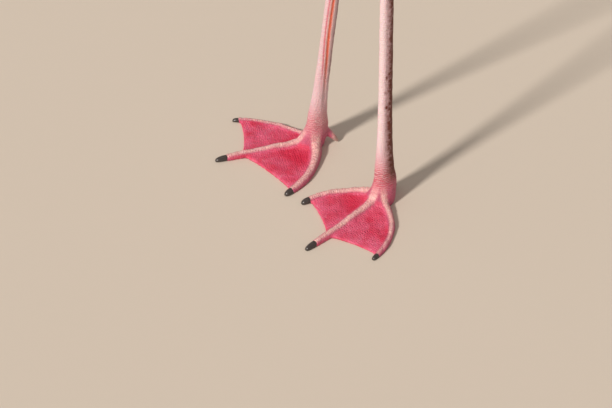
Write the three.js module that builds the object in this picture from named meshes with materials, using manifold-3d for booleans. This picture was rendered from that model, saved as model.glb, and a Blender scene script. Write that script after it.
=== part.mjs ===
// Greater flamingo, adult, standing on both feet: a still, life-size model.
// Millimetres, +Z up. The bird faces -Y and its left side is +X. The soles are at z = 0.
// Plumage is modelled by its outer surface, out to the feather tips.

import * as THREE from 'three';
import { LoftGeometry } from 'three/addons/geometries/LoftGeometry.js';
import { mergeVertices } from 'three/addons/utils/BufferGeometryUtils.js';
import Module from 'manifold-3d';

const wasm = await Module();
wasm.setup();

// ---- driving dimensions -------------------------------------------------------------

const GAP = 0.3;                    // clear space between neighbouring parts
const CUT_GAP = 0.5;                // offset of a body that cuts its neighbour
const CENTRE = { x: 0, y: 55 };     // shift that puts the box centre on the origin

// The spine runs from the tail tip through trunk and neck to the base of the bill.
// Stations are [distance along the spine, value].
const TAIL_TIP = { y: 300, z: 636 };
const SPINE_SLOPE = [               // degrees above level, looking forward
  [0, 16], [110, 17], [250, 14], [400, 15], [470, 27], [530, 46], [590, 60], [660, 71],
  [740, 86], [840, 101], [940, 105], [1010, 98], [1050, 80], [1085, 44], [1115, 8],
  [1145, -12], [1185, -20], [1224, -23],
];
const HALF_WIDTH = [
  [0, 24], [60, 35], [110, 52], [160, 76], [230, 94], [320, 102], [410, 98], [470, 86],
  [530, 64], [590, 45], [650, 34], [720, 27.5], [800, 24], [920, 22], [1050, 21],
  [1090, 22], [1118, 25.5], [1146, 27], [1174, 25.5], [1200, 21], [1224, 15],
];
const HALF_HEIGHT = [
  [0, 2.5], [60, 9], [110, 38], [160, 72], [230, 98], [320, 114], [410, 114], [470, 104],
  [530, 80], [590, 56], [650, 40], [720, 31], [800, 26.5], [920, 24], [1050, 22.5],
  [1090, 24], [1118, 30], [1146, 33], [1174, 32], [1200, 27], [1224, 20.5],
];
const AXIAL_PARTS = {               // [from, to, steps, sides]
  tail: [0, 110, 5, 20],
  trunk: [110, 560, 16, 22],
  neck_lower: [560, 760, 8, 16],
  neck_middle: [760, 930, 6, 16],
  neck_upper: [930, 1096, 10, 16],
  head: [1096, 1224, 10, 20],
};

// Folded wing, carried on a body of its own size that runs on past the trunk.
const WING_STATIONS = [14, 40, 70, 105, 150, 200, 260, 320, 375, 420, 455, 480];
const CARRIER_WIDTH = [
  [-34, 8], [0, 20], [40, 35], [105, 57], [160, 78], [230, 94], [320, 102], [410, 98], [480, 84],
];
const CARRIER_HEIGHT = [
  [-34, 5], [0, 15], [40, 33], [105, 58], [160, 78], [230, 99], [320, 114], [410, 114],
  [480, 101],
];
const CARRIER_LIFT = [[-34, 9], [0, 10], [50, 8], [130, 0], [480, 0]];
const WING_TOP_ANGLE = [[14, 34], [60, 10], [120, 5], [300, 5], [390, 12], [480, 60]];
const WING_LOW_ANGLE = [[14, 84], [60, 104], [120, 112], [240, 121], [380, 116], [480, 84]];
const WING_THICKNESS = [[14, 3], [60, 12], [150, 21], [260, 26], [380, 22], [480, 4]];
const WING_INSET = 7;               // how far the raw wing reaches into the body
const WING_SEAM = 1.2;              // half the parting between the wings on the back
const WING_EDGE = 0.85;             // how softly the wing thins to its edges

// Black flight feathers, which show below and behind the folded wing, on the same carrier.
const PRIMARY_STATIONS = [-34, -18, 0, 30, 70, 110, 150];
const PRIMARY_TOP_ANGLE = [[-34, 60], [0, 50], [60, 88], [150, 106]];
const PRIMARY_LOW_ANGLE = [[-34, 82], [0, 106], [60, 125], [110, 126], [150, 117]];
const PRIMARY_OUTSIDE = [[-34, 0.6], [0, 1.5], [150, 4]];
const PRIMARY_INSIDE = 3;

// Bill, along a path of its own from the base of the bill.
const BILL_LENGTH = 130;
const BILL_SLOPE = [[0, -23], [36, -27], [51, -48], [65, -78], [80, -96], [130, -107]];
const BILL_CULMEN = [[0, 18], [26, 15.5], [48, 15.5], [68, 15], [90, 12.5], [112, 9], [130, 2.5]];
const BILL_KEEL = [[0, 19.5], [26, 21.5], [46, 23.5], [64, 21], [88, 15.5], [110, 9.5], [130, 2]];
const BILL_GAPE = [[0, -4], [26, -2], [48, 3], [66, 4.5], [88, 3], [110, 1.5], [130, 0.2]];
const UPPER_HALF_WIDTH = [[0, 13.5], [28, 12], [52, 11], [78, 10], [104, 8], [130, 2.6]];
const LOWER_HALF_WIDTH = [[0, 14], [28, 13.5], [50, 13.5], [72, 11.5], [102, 7.5], [130, 2.2]];
const BILL_STEPS = 14;

const EYE_RADIUS = 7.2;
const EYE_STATION = 1184;
const EYE_LIFT = 9;                 // above the spine
const EYE_INSET = 5.6;              // eye centre inside the side of the head

// Legs. A leg's axis passes through its ankle, hock and knee.
const ANKLE_HEIGHT = 34;
const HOCK_HEIGHT = 325;
const KNEE_HEIGHT = 690;
const LEG_STATIONS = {              // [height, half width, half depth]
  tarsus: [
    [34, 7.1, 9.3], [52, 6.1, 7.7], [80, 5.4, 6.8], [150, 5.1, 6.2], [250, 5.1, 6.2],
    [285, 5.8, 7.2], [302, 8.2, 10.2], [314, 10.0, 12.6], [325, 10.6, 13.2],
  ],
  shin: [
    [325, 10.6, 13.2], [336, 10.2, 12.8], [350, 8.2, 10.0], [368, 6.2, 7.6],
    [400, 5.8, 7.0], [445, 6.2, 7.2], [480, 7.2, 8.2], [505, 8.4, 9.4],
  ],
  thigh: [
    [505, 11.5, 12.5], [516, 14.5, 16.5], [535, 20, 25], [562, 29, 39], [595, 39, 55],
    [630, 47, 68], [660, 50, 74],
  ],
};
const FLARE_STATIONS = [            // [height, half width, half depth, shift forward]
  [0.0, 10.6, 14.3, 4.6], [6, 10.9, 14.0, 3.4], [11, 9.9, 12.6, 1.6], [16, 8.9, 11.6, 0],
  [22, 8.1, 10.8, -0.9], [28, 7.6, 10.0, -0.6], [34, 7.1, 9.3, 0],
];
const LEGS = {
  left: {
    side: 1, foot: [47.2, 5.2], ankle: [45.6, 10.0], hock: [23.4, 21.2], knee: [48, -30],
    toes: {
      inner: { angle: -26.5, length: 68, bow: -8 },
      middle: { angle: 14.2, length: 91, bow: 1 },
      outer: { angle: 53.5, length: 77, bow: 11.5 },
    },
  },
  right: {
    side: -1, foot: [-47.2, -5.2], ankle: [-46.4, -1.8], hock: [-21.0, 14.8], knee: [-48, -36],
    toes: {
      inner: { angle: -39.5, length: 74, bow: -9 },
      middle: { angle: 15.8, length: 90, bow: 1 },
      outer: { angle: 55, length: 80, bow: 7 },
    },
  },
};

// Toes are flat below. The claw is the last stretch of the toe's length.
const TOE_BASE_OUT = { inner: -5, middle: 0.5, outer: 5.5 };
const TOE_BASE_FORWARD = 1;
const TOE_HALF_WIDTH = [[0, 5.6], [0.3, 4.4], [0.7, 3.8], [1, 3.6]];
const TOE_HEIGHT = [[0, 10.5], [0.2, 8], [0.6, 6], [1, 5.2]];
const TOE_GIRTH = { inner: 1.04, middle: 1, outer: 0.78 };
const TOE_STEPS = 7;
const CLAW = { middle: 10.5, inner: 7.5, outer: 6 };
const CLAW_GIRTH = 0.88;            // of the toe's own end
const CLAW_TIP = { width: 1.0, height: 1.2 };
const WEB_THICKNESS = 2.4;
const WEB_CLEARANCE = 0.6;          // the web's underside above the soles
const WEB_NOTCH = 2.5;                // how far a web's margin curves in
const WEB_START = 0.82;             // where the web leaves the middle toe
const WEB_END = 0.995;              // where it meets the inner or outer toe
const HIND_TOE = {                  // its root and tip, from the leg's axis; claw is a share
  radius: 3.5, claw: 0.25,
  root: { inward: 1.5, back: 6, height: 18 },
  tip: { inward: 8.5, back: 18, height: 1.3 },
};

// ---- materials ----------------------------------------------------------------------

const finish = (color, roughness) => ({ color, roughness, metalness: 0 });
const PALE_PLUMAGE = finish(0xf3dcd8, 0.85);
const PINK_PLUMAGE = finish(0xe8747c, 0.8);
const BLACK_PLUMAGE = finish(0x1c191b, 0.6);
const LEG_SKIN = finish(0xe8a5a8, 0.5);
const WEB_SKIN = finish(0xdb5a72, 0.5);
const CLAW_HORN = finish(0x2b2a2c, 0.35);
const BILL_HORN = finish(0xe9a3a0, 0.4);
const BILL_TIP_HORN = finish(0xe3a9a4, 0.4);
const EYE_GLOSS = finish(0xe6d36a, 0.1);

// ---- small tools --------------------------------------------------------------------

const rad = THREE.MathUtils.degToRad;

// Smooth curve through [x, value] stations: cubic pieces with averaged slopes.
function smooth(stations, x) {
  const last = stations.length - 1;
  let i = 0;
  while (i < last - 1 && x > stations[i + 1][0]) i += 1;
  const slope = (k) => {
    const a = stations[Math.max(k - 1, 0)];
    const b = stations[Math.min(k + 1, last)];
    return (b[1] - a[1]) / (b[0] - a[0]);
  };
  const [x0, v0] = stations[i];
  const [x1, v1] = stations[i + 1];
  const span = x1 - x0;
  const t = Math.min(Math.max((x - x0) / span, 0), 1);
  const rise = v1 - v0;
  const bend0 = slope(i) * span - rise;
  const bend1 = rise - slope(i + 1) * span;
  return v0 + rise * t + t * (1 - t) * (bend0 * (1 - t) + bend1 * t);
}

// Path in the plane x = 0 that starts at (y, z) and turns as the slope stations say.
function pathFrom(y, z, slopes, length) {
  const step = 1;
  const points = [{ y, z }];
  for (let s = 0; s < length; s += step) {
    const angle = rad(smooth(slopes, s + step / 2));
    const p = points[points.length - 1];
    points.push({ y: p.y - step * Math.cos(angle), z: p.z + step * Math.sin(angle) });
  }
  return (s) => {
    const i = THREE.MathUtils.clamp(Math.floor(s / step), 0, points.length - 2);
    const f = s / step - i;
    const angle = rad(smooth(slopes, s));
    return {
      y: points[i].y + f * (points[i + 1].y - points[i].y),
      z: points[i].z + f * (points[i + 1].z - points[i].z),
      dorsal: { y: Math.sin(angle), z: Math.cos(angle) },
      slope: angle,
    };
  };
}

// A point beside a path: across along X, up along the path's dorsal direction.
function beside(frame, across, up) {
  return new THREE.Vector3(
    across,
    frame.y + up * frame.dorsal.y,
    frame.z + up * frame.dorsal.z,
  );
}

// Closed loft through rings of points, with its faces outward.
function loft(rings) {
  const ordered = turnsOutward(rings) ? rings : [...rings].reverse();
  return new LoftGeometry(ordered, { closed: true, capStart: true, capEnd: true });
}

// Whether walls between the rings face out: each piece is measured about its own middle.
function turnsOutward(rings) {
  let total = 0;
  for (let i = 1; i < rings.length; i += 1) {
    const [here, next] = [rings[i - 1], rings[i]];
    const middle = new THREE.Vector3();
    for (const p of [...here, ...next]) middle.addScaledVector(p, 1 / (2 * here.length));
    here.forEach((p, j) => {
      const across = here[(j + 1) % here.length].clone().sub(middle);
      total += p.clone().sub(middle).dot(across.cross(next[j].clone().sub(middle)));
    });
  }
  return total > 0;
}

function range(from, to, steps) {
  return Array.from({ length: steps + 1 }, (_, i) => from + ((to - from) * i) / steps);
}

function ring(sides, point) {
  return Array.from({ length: sides }, (_, i) => point((2 * Math.PI * i) / sides));
}

function solid(geometry) {
  const bare = new THREE.BufferGeometry().copy(geometry);
  bare.deleteAttribute('normal');
  bare.deleteAttribute('uv');
  const merged = mergeVertices(bare, 1e-4);
  const corners = [];
  const index = merged.index.array;
  for (let i = 0; i < index.length; i += 3) {
    const [a, b, c] = [index[i], index[i + 1], index[i + 2]];
    if (a !== b && b !== c && c !== a) corners.push(a, b, c);
  }
  return new wasm.Manifold(new wasm.Mesh({
    numProp: 3,
    vertProperties: new Float32Array(merged.attributes.position.array),
    triVerts: new Uint32Array(corners),
  }));
}

function geometryOf(manifold) {
  const mesh = manifold.getMesh();
  const geometry = new THREE.BufferGeometry();
  const positions = new Float32Array(mesh.vertProperties);
  geometry.setAttribute('position', new THREE.BufferAttribute(positions, 3));
  geometry.setIndex(new THREE.BufferAttribute(new Uint32Array(mesh.triVerts), 1));
  geometry.computeVertexNormals();
  return geometry;
}

// What is left of a body after others are taken away from it: its largest piece.
function carve(geometry, cutters) {
  let body = solid(geometry);
  for (const cutter of cutters) body = body.subtract(solid(cutter));
  const pieces = body.decompose();
  pieces.sort((p, q) => q.volume() - p.volume());
  return geometryOf(pieces[0]);
}

function join(geometries) {
  let body = solid(geometries[0]);
  for (const other of geometries.slice(1)) body = body.add(solid(other));
  return geometryOf(body);
}

// ---- body along the spine -----------------------------------------------------------

const spine = pathFrom(TAIL_TIP.y, TAIL_TIP.z, SPINE_SLOPE, 1300);

function axialLoft(from, to, steps, sides, swell = 0) {
  const rings = range(from, to, steps).map((s) => {
    const frame = spine(s);
    const width = smooth(HALF_WIDTH, s) + swell;
    const height = smooth(HALF_HEIGHT, s) + swell;
    return ring(sides, (a) => beside(frame, width * Math.sin(a), height * Math.cos(a)));
  });
  return loft(rings);
}

function axialPart(name) {
  const [from, to, steps, sides] = AXIAL_PARTS[name];
  const start = from === 0 ? 0 : from + GAP / 2;
  return axialLoft(start, to - GAP / 2, steps, sides);
}

function swollenPart(name) {
  const [from, to, steps, sides] = AXIAL_PARTS[name];
  return axialLoft(from - 1, to + 1, steps, sides, CUT_GAP);
}

// ---- wings --------------------------------------------------------------------------

// A point on the carrier at an angle from the back, lifted off its surface.
function onCarrier(side, s, angle, lift, seam = WING_SEAM) {
  const frame = spine(s);
  const x = Math.max((smooth(CARRIER_WIDTH, s) + lift) * Math.sin(angle), seam);
  const up = (smooth(CARRIER_HEIGHT, s) + lift) * Math.cos(angle) + smooth(CARRIER_LIFT, s);
  return beside(frame, side * x, up);
}

// Crescent section around the carrier: outside it is domed, inside it reaches inward.
function wingLoft(side, swell = 0) {
  return loft(WING_STATIONS.map((s) => {
    const width = smooth(CARRIER_WIDTH, s);
    const top = rad(smooth(WING_TOP_ANGLE, s)) - swell / width;
    const low = rad(smooth(WING_LOW_ANGLE, s)) + (2 * swell) / width;
    const dome = smooth(WING_THICKNESS, s);
    const seam = WING_SEAM - swell;
    const outside = range(0, 1, 10).map((t) => {
      const arch = Math.sin(Math.PI * THREE.MathUtils.clamp(t, 0.03, 0.97)) ** WING_EDGE;
      return onCarrier(side, s, top + (low - top) * t, dome * arch + swell, seam);
    });
    const inside = range(0.94, 0.06, 6).map((t) => (
      onCarrier(side, s, top + (low - top) * t, -WING_INSET, seam)
    ));
    return [...outside, ...inside];
  }));
}

function primariesLoft(side) {
  return loft(PRIMARY_STATIONS.map((s) => {
    const top = rad(smooth(PRIMARY_TOP_ANGLE, s));
    const low = rad(smooth(PRIMARY_LOW_ANGLE, s));
    const out = smooth(PRIMARY_OUTSIDE, s);
    const outside = range(top, low, 5).map((a) => onCarrier(side, s, a, out));
    const inside = range(low, top, 3).map((a) => onCarrier(side, s, a, out - PRIMARY_INSIDE));
    return [...outside, ...inside];
  }));
}

// ---- head, eyes and bill ------------------------------------------------------------

const headFrame = spine(EYE_STATION);

function eyeCentre(side) {
  const width = smooth(HALF_WIDTH, EYE_STATION);
  const height = smooth(HALF_HEIGHT, EYE_STATION);
  const across = width * Math.sqrt(1 - (EYE_LIFT / height) ** 2) - EYE_INSET;
  return beside(headFrame, side * across, EYE_LIFT);
}

function ball(radius, centre, across, down) {
  const geometry = new THREE.SphereGeometry(radius, across, down);
  geometry.translate(centre.x, centre.y, centre.z);
  return geometry;
}

const billBase = spine(AXIAL_PARTS.head[1]);
const billPath = pathFrom(billBase.y, billBase.z, BILL_SLOPE, BILL_LENGTH + 2);

// Half of the bill: a vault over the line of the gape, or a keel under it.
function billHalf(outline, halfWidth, sign) {
  const rings = range(0, BILL_LENGTH, BILL_STEPS).map((s) => {
    const frame = billPath(Math.max(s, GAP));
    const gape = smooth(BILL_GAPE, s) + (sign * GAP) / 2;
    const edge = sign * smooth(outline, s);
    const width = smooth(halfWidth, s);
    const arch = range(0, Math.PI, 8).map((a) => (
      beside(frame, width * Math.cos(a), gape + (edge - gape) * Math.pow(Math.sin(a), 0.8))
    ));
    return arch;
  });
  return loft(rings);
}

// ---- legs ---------------------------------------------------------------------------

// Place of a leg's axis at a height: ankle to hock, then hock to knee.
function legAxis(leg, z) {
  const below = z <= HOCK_HEIGHT;
  const [z0, z1] = below ? [ANKLE_HEIGHT, HOCK_HEIGHT] : [HOCK_HEIGHT, KNEE_HEIGHT];
  const [a, b] = below ? [leg.ankle, leg.hock] : [leg.hock, leg.knee];
  const t = (z - z0) / (z1 - z0);
  return [a[0] + (b[0] - a[0]) * t, a[1] + (b[1] - a[1]) * t];
}

function legLoft(leg, stations, sides) {
  const first = stations[0][0];
  const last = stations[stations.length - 1][0];
  const rings = stations.map(([z, width, depth]) => {
    const level = z === first ? z + GAP / 2 : z === last ? z - GAP / 2 : z;
    const [x, y] = legAxis(leg, level);
    return ring(sides, (a) => (
      new THREE.Vector3(x + width * Math.cos(a), y + depth * Math.sin(a), level)
    ));
  });
  return loft(rings);
}

// ---- feet ---------------------------------------------------------------------------

// A toe's line on the ground: an arc that bows outward from foot to tip.
function toeLine(leg, toe) {
  const { angle, length, bow } = leg.toes[toe];
  const direction = new THREE.Vector2(Math.sin(rad(angle)), Math.cos(rad(angle)));
  const base = new THREE.Vector2(TOE_BASE_OUT[toe], TOE_BASE_FORWARD);
  const tip = direction.clone().multiplyScalar(length);
  const across = new THREE.Vector2(direction.y, -direction.x);
  const middle = base.clone().add(tip).multiplyScalar(0.5).addScaledVector(across, 2 * bow);
  const curve = new THREE.QuadraticBezierCurve(base, middle, tip);
  const place = (p, z) => (
    new THREE.Vector3(leg.foot[0] + leg.side * p.x, leg.foot[1] - p.y, z)
  );
  const clawStart = 1 - CLAW[toe] / curve.getLength();
  return { curve, place, clawStart };
}

// Section of a toe: flat below, arched above.
function toeRing(line, t, width, height) {
  const p = line.curve.getPointAt(t);
  const tangent = line.curve.getTangentAt(t);
  const across = new THREE.Vector2(tangent.y, -tangent.x);
  const arch = range(0, Math.PI, 6).map((a) => {
    const q = p.clone().addScaledVector(across, width * Math.cos(a));
    return line.place(q, height * (0.14 + 0.86 * Math.pow(Math.sin(a), 0.75)));
  });
  const soles = [-0.72, 0.72].map((k) => (
    line.place(p.clone().addScaledVector(across, k * width), 0)
  ));
  return [...arch, ...soles];
}

function toeLoft(leg, toe) {
  const line = toeLine(leg, toe);
  const end = line.clawStart - GAP / line.curve.getLength();
  const girth = TOE_GIRTH[toe];
  return loft(range(0, end, TOE_STEPS).map((t) => {
    const width = girth * smooth(TOE_HALF_WIDTH, t / end);
    return toeRing(line, t, width, girth * smooth(TOE_HEIGHT, t / end));
  }));
}

function clawLoft(leg, toe) {
  const line = toeLine(leg, toe);
  const width = CLAW_GIRTH * TOE_GIRTH[toe] * smooth(TOE_HALF_WIDTH, 1);
  const height = CLAW_GIRTH * TOE_GIRTH[toe] * smooth(TOE_HEIGHT, 1);
  return loft(range(0, 1, 4).map((t) => {
    const taper = Math.sqrt(1 - t ** 2.4);
    const w = CLAW_TIP.width + (width - CLAW_TIP.width) * taper;
    const h = CLAW_TIP.height + (height - CLAW_TIP.height) * taper;
    return toeRing(line, line.clawStart + (1 - line.clawStart) * t, w, h);
  }));
}

// Web between the middle toe and its neighbour, with a margin that curves in.
function webPlate(leg, toe) {
  const middle = toeLine(leg, 'middle');
  const other = toeLine(leg, toe);
  const start = middle.curve.getPointAt(middle.clawStart * WEB_START);
  const end = other.curve.getPointAt(other.clawStart * WEB_END);
  const chord = start.clone().add(end).multiplyScalar(0.5);
  const control = chord.clone().multiplyScalar(1 - (2 * WEB_NOTCH) / chord.length());
  const margin = new THREE.QuadraticBezierCurve(start, control, end);
  const outline = [
    ...range(0, 1, 6).map((t) => middle.curve.getPointAt(t * middle.clawStart * WEB_START)),
    ...range(0, 1, 8).slice(1).map((t) => margin.getPoint(t)),
    ...range(1, 0, 6).slice(1).map((t) => other.curve.getPointAt(t * other.clawStart * WEB_END)),
  ].map((p) => {
    const q = other.place(p, 0);
    return new THREE.Vector2(q.x, q.y);
  });
  const shape = new THREE.Shape(outline);
  const plate = new THREE.ExtrudeGeometry(shape, { depth: WEB_THICKNESS, bevelEnabled: false });
  plate.translate(0, 0, WEB_CLEARANCE);
  return plate;
}

function flareLoft(leg) {
  return loft(FLARE_STATIONS.map(([z, width, depth, forward]) => {
    const level = z === ANKLE_HEIGHT ? z - GAP / 2 : z;
    const [x, y] = legAxis(leg, level);
    return ring(16, (a) => (
      new THREE.Vector3(x + width * Math.cos(a), y - forward + depth * Math.sin(a), level)
    ));
  }));
}

// The hind toe hangs behind the ankle, its claw just clear of the ground.
function hindToe(leg, from, to) {
  const { root, tip, radius } = HIND_TOE;
  const [x, y] = legAxis(leg, root.height);
  const start = new THREE.Vector3(x - leg.side * root.inward, y + root.back, root.height);
  const end = new THREE.Vector3(x - leg.side * tip.inward, y + tip.back, tip.height);
  const along = end.clone().sub(start).normalize();
  const across = new THREE.Vector3(1, 0, 0).cross(along).normalize();
  const aside = along.clone().cross(across);
  return loft(range(from, to, 3).map((t) => {
    const centre = start.clone().lerp(end, t);
    const r = radius * (1 - 0.75 * t ** 3);
    return ring(8, (a) => (
      centre.clone().addScaledVector(across, r * Math.cos(a)).addScaledVector(aside, r * Math.sin(a))
    ));
  }));
}

function footSolid(leg) {
  return join([
    flareLoft(leg),
    toeLoft(leg, 'inner'),
    toeLoft(leg, 'middle'),
    toeLoft(leg, 'outer'),
    webPlate(leg, 'inner'),
    webPlate(leg, 'outer'),
    hindToe(leg, 0, 1 - HIND_TOE.claw - GAP / HIND_TOE.root.height),
  ]);
}

// ---- assembly -----------------------------------------------------------------------

const bird = new THREE.Group();
bird.position.set(CENTRE.x, CENTRE.y, 0);

function add(name, geometry, look) {
  const mesh = new THREE.Mesh(geometry, new THREE.MeshStandardMaterial(look));
  mesh.name = name;
  bird.add(mesh);
}

for (const name of ['tail', 'trunk', 'neck_lower', 'neck_middle', 'neck_upper']) {
  add(name, axialPart(name), PALE_PLUMAGE);
}

const sockets = [1, -1].map((side) => (
  ball(EYE_RADIUS + GAP, eyeCentre(side), 12, 8)
));
add('head', carve(axialPart('head'), sockets), PALE_PLUMAGE);
add('bill_upper', billHalf(BILL_CULMEN, UPPER_HALF_WIDTH, 1), BILL_HORN);
add('bill_lower', billHalf(BILL_KEEL, LOWER_HALF_WIDTH, -1), BILL_TIP_HORN);

for (const [name, leg] of Object.entries(LEGS)) {
  const trunk = swollenPart('trunk');
  const tail = swollenPart('tail');
  const wing = wingLoft(leg.side);
  const aroundWing = wingLoft(leg.side, CUT_GAP);
  add(`eye_${name}`, ball(EYE_RADIUS, eyeCentre(leg.side), 12, 8), EYE_GLOSS);
  add(`wing_${name}`, carve(wing, [trunk, tail]), PINK_PLUMAGE);
  const primaries = carve(primariesLoft(leg.side), [trunk, tail, aroundWing]);
  add(`primaries_${name}`, primaries, BLACK_PLUMAGE);
  const thigh = carve(legLoft(leg, LEG_STATIONS.thigh, 16), [trunk, aroundWing]);
  add(`thigh_${name}`, thigh, PALE_PLUMAGE);
  add(`shin_${name}`, legLoft(leg, LEG_STATIONS.shin, 10), LEG_SKIN);
  add(`tarsus_${name}`, legLoft(leg, LEG_STATIONS.tarsus, 10), LEG_SKIN);
  add(`foot_${name}`, footSolid(leg), WEB_SKIN);
  for (const toe of ['inner', 'middle', 'outer']) {
    add(`claw_${name}_${toe}`, clawLoft(leg, toe), CLAW_HORN);
  }
  const hindClaw = hindToe(leg, 1 - HIND_TOE.claw, 1);
  add(`claw_${name}_hind`, hindClaw, CLAW_HORN);
}

export default bird;
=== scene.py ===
import math
from functools import partial

import bpy
import numpy as np
from bpy.props import FloatProperty, FloatVectorProperty, IntProperty, PointerProperty
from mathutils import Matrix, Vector


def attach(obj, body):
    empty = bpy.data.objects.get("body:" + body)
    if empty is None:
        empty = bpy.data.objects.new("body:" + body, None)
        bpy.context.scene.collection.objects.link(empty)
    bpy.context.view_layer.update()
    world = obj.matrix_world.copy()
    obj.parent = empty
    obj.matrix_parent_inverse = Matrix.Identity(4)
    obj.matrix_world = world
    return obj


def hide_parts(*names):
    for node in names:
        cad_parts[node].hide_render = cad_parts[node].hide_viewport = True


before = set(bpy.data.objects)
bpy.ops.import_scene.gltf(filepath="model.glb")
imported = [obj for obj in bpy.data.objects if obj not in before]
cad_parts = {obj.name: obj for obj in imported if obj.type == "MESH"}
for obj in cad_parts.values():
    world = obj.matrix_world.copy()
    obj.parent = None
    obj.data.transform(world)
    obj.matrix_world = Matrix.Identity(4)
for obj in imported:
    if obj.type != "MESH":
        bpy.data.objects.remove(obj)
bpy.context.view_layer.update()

bl_info = {
    "name": "Greater flamingo",
    "version": (1, 0, 0),
    "blender": (4, 5, 0),
    "location": "View3D > Sidebar > Flamingo",
    "description": "A still, life-size greater flamingo with feathers, bare legs and webbed feet",
    "category": "Object",
}

MM = 0.001
TAU = 2 * math.pi


# ---- driving dimensions, millimetres -------------------------------------------------
# The bird faces -Y, its left side is +X and its soles are at z = 0. The spine runs from the
# tail tip through trunk and neck to the bill. Stations are (distance, value).

TAIL_TIP = (355, 636)
SPINE_LENGTH = 1300
SPINE_SLOPE = (
    (0, 16), (110, 17), (250, 14), (400, 15), (470, 27), (530, 46), (590, 60), (660, 71),
    (740, 86), (840, 101), (940, 105), (1010, 98), (1050, 80), (1085, 44), (1115, 8),
    (1145, -12), (1185, -20), (1224, -23),
)
HALF_WIDTH = (
    (0, 24), (60, 35), (110, 52), (160, 76), (230, 94), (320, 102), (410, 98), (470, 86),
    (530, 64), (590, 45), (650, 34), (720, 27.5), (800, 24), (920, 22), (1050, 21),
    (1090, 22), (1118, 25.5), (1146, 27), (1174, 25.5), (1200, 21), (1224, 15),
)
HALF_HEIGHT = (
    (0, 2.5), (60, 9), (110, 38), (160, 72), (230, 98), (320, 114), (410, 114), (470, 104),
    (530, 80), (590, 56), (650, 40), (720, 31), (800, 26.5), (920, 24), (1050, 22.5),
    (1090, 24), (1118, 30), (1146, 33), (1174, 32), (1200, 27), (1224, 20.5),
)
HEAD_START = 1096
BILL_START = 1224

# Folded wing, carried on a body of its own size that runs on past the trunk.
CARRIER_WIDTH = (
    (-34, 8), (0, 20), (40, 35), (105, 57), (160, 78), (230, 94), (320, 102), (410, 98), (480, 84),
)
CARRIER_HEIGHT = (
    (-34, 5), (0, 15), (40, 33), (105, 58), (160, 78), (230, 99), (320, 114), (410, 114),
    (480, 101),
)
CARRIER_LIFT = ((-34, 9), (0, 10), (50, 8), (130, 0), (480, 0))
WING_TOP = ((14, 34), (60, 10), (120, 5), (300, 5), (390, 12), (480, 60))
WING_LOW = ((14, 84), (60, 104), (120, 112), (240, 121), (380, 116), (480, 84))
WING_THICKNESS = ((14, 3), (60, 12), (150, 21), (260, 26), (380, 22), (480, 4))
WING_INSET = 7
WING_SEAM = 1.2
WING_EDGE = 0.85
PRIMARY_TOP = ((-34, 60), (0, 50), (60, 88), (150, 106))
PRIMARY_LOW = ((-34, 82), (0, 106), (60, 125), (110, 126), (150, 117))
PRIMARY_OUTSIDE = ((-34, 0.6), (0, 1.5), (150, 4))

# Bill, along a path of its own.
BILL_LENGTH = 130
BILL_SLOPE = ((0, -23), (36, -27), (51, -48), (65, -78), (80, -96), (130, -107))
BILL_CULMEN = ((0, 18), (26, 15.5), (48, 15.5), (68, 15), (90, 12.5), (112, 9), (130, 2.5))
BILL_KEEL = ((0, 19.5), (26, 21.5), (46, 23.5), (64, 21), (88, 15.5), (110, 9.5), (130, 2))
BILL_GAPE = ((0, -4), (26, -2), (48, 3), (66, 4.5), (88, 3), (110, 1.5), (130, 0.2))
UPPER_HALF_WIDTH = ((0, 13.5), (28, 12), (52, 11), (78, 10), (104, 8), (130, 2.6))
LOWER_HALF_WIDTH = ((0, 14), (28, 13.5), (50, 13.5), (72, 11.5), (102, 7.5), (130, 2.2))

EYE_RADIUS = 7.2
EYE_STATION = 1184
EYE_LIFT = 9
EYE_INSET = 5.6

# Legs. A leg's axis passes through its ankle, hock and knee.
ANKLE_HEIGHT = 34
HOCK_HEIGHT = 325
HEM_HEIGHT = 505
KNEE_HEIGHT = 690
LEG_STATIONS = (                    # height, half width, half depth, shift forward
    (0.0, 10.6, 14.3, 4.6), (6, 10.9, 14.0, 3.4), (11, 9.9, 12.6, 1.6), (16, 8.9, 11.6, 0),
    (22, 8.1, 10.8, -0.9), (28, 7.6, 10.0, -0.6), (34, 7.1, 9.3, 0), (52, 6.1, 7.7, 0),
    (80, 5.4, 6.8, 0), (150, 5.1, 6.2, 0), (250, 5.1, 6.2, 0), (285, 5.8, 7.2, 0),
    (302, 8.2, 10.2, 0), (314, 10.0, 12.6, 0), (325, 10.6, 13.2, 0), (336, 10.2, 12.8, 0),
    (350, 8.2, 10.0, 0), (368, 6.2, 7.6, 0), (400, 5.8, 7.0, 0), (445, 6.2, 7.2, 0),
    (480, 7.2, 8.2, 0), (505, 8.4, 9.4, 0), (516, 10, 11.5, 0), (535, 15, 20, 0),
    (562, 24, 34, 0), (595, 34, 50, 0), (630, 42, 63, 0), (660, 45, 69, 0),
)
THIGH_STATIONS = (                  # height, half width, half depth out to the feather tips
    (505, 11.5, 12.5), (516, 14.5, 16.5), (535, 20, 25), (562, 29, 39), (595, 39, 55),
    (630, 47, 68), (660, 50, 74),
)
LEGS = {
    "left": {
        "side": 1, "foot": (47.2, 60.2), "ankle": (45.6, 65.0), "hock": (23.4, 76.2),
        "knee": (48, 25),
        "toes": {"inner": (-26.5, 68, -8), "middle": (14.2, 91, 1), "outer": (53.5, 77, 11.5)},
    },
    "right": {
        "side": -1, "foot": (-47.2, 49.8), "ankle": (-46.4, 53.2), "hock": (-21.0, 69.8),
        "knee": (-48, 19),
        "toes": {"inner": (-39.5, 74, -9), "middle": (15.8, 90, 1), "outer": (55, 80, 7)},
    },
}                                   # toes: degrees outward from ahead, length, bow
TOE_BASE_OUT = {"inner": -5, "middle": 0.5, "outer": 5.5}
TOE_BASE_FORWARD = 1
TOE_HALF_WIDTH = ((0, 5.6), (0.3, 4.4), (0.7, 3.8), (1, 3.6))
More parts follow.
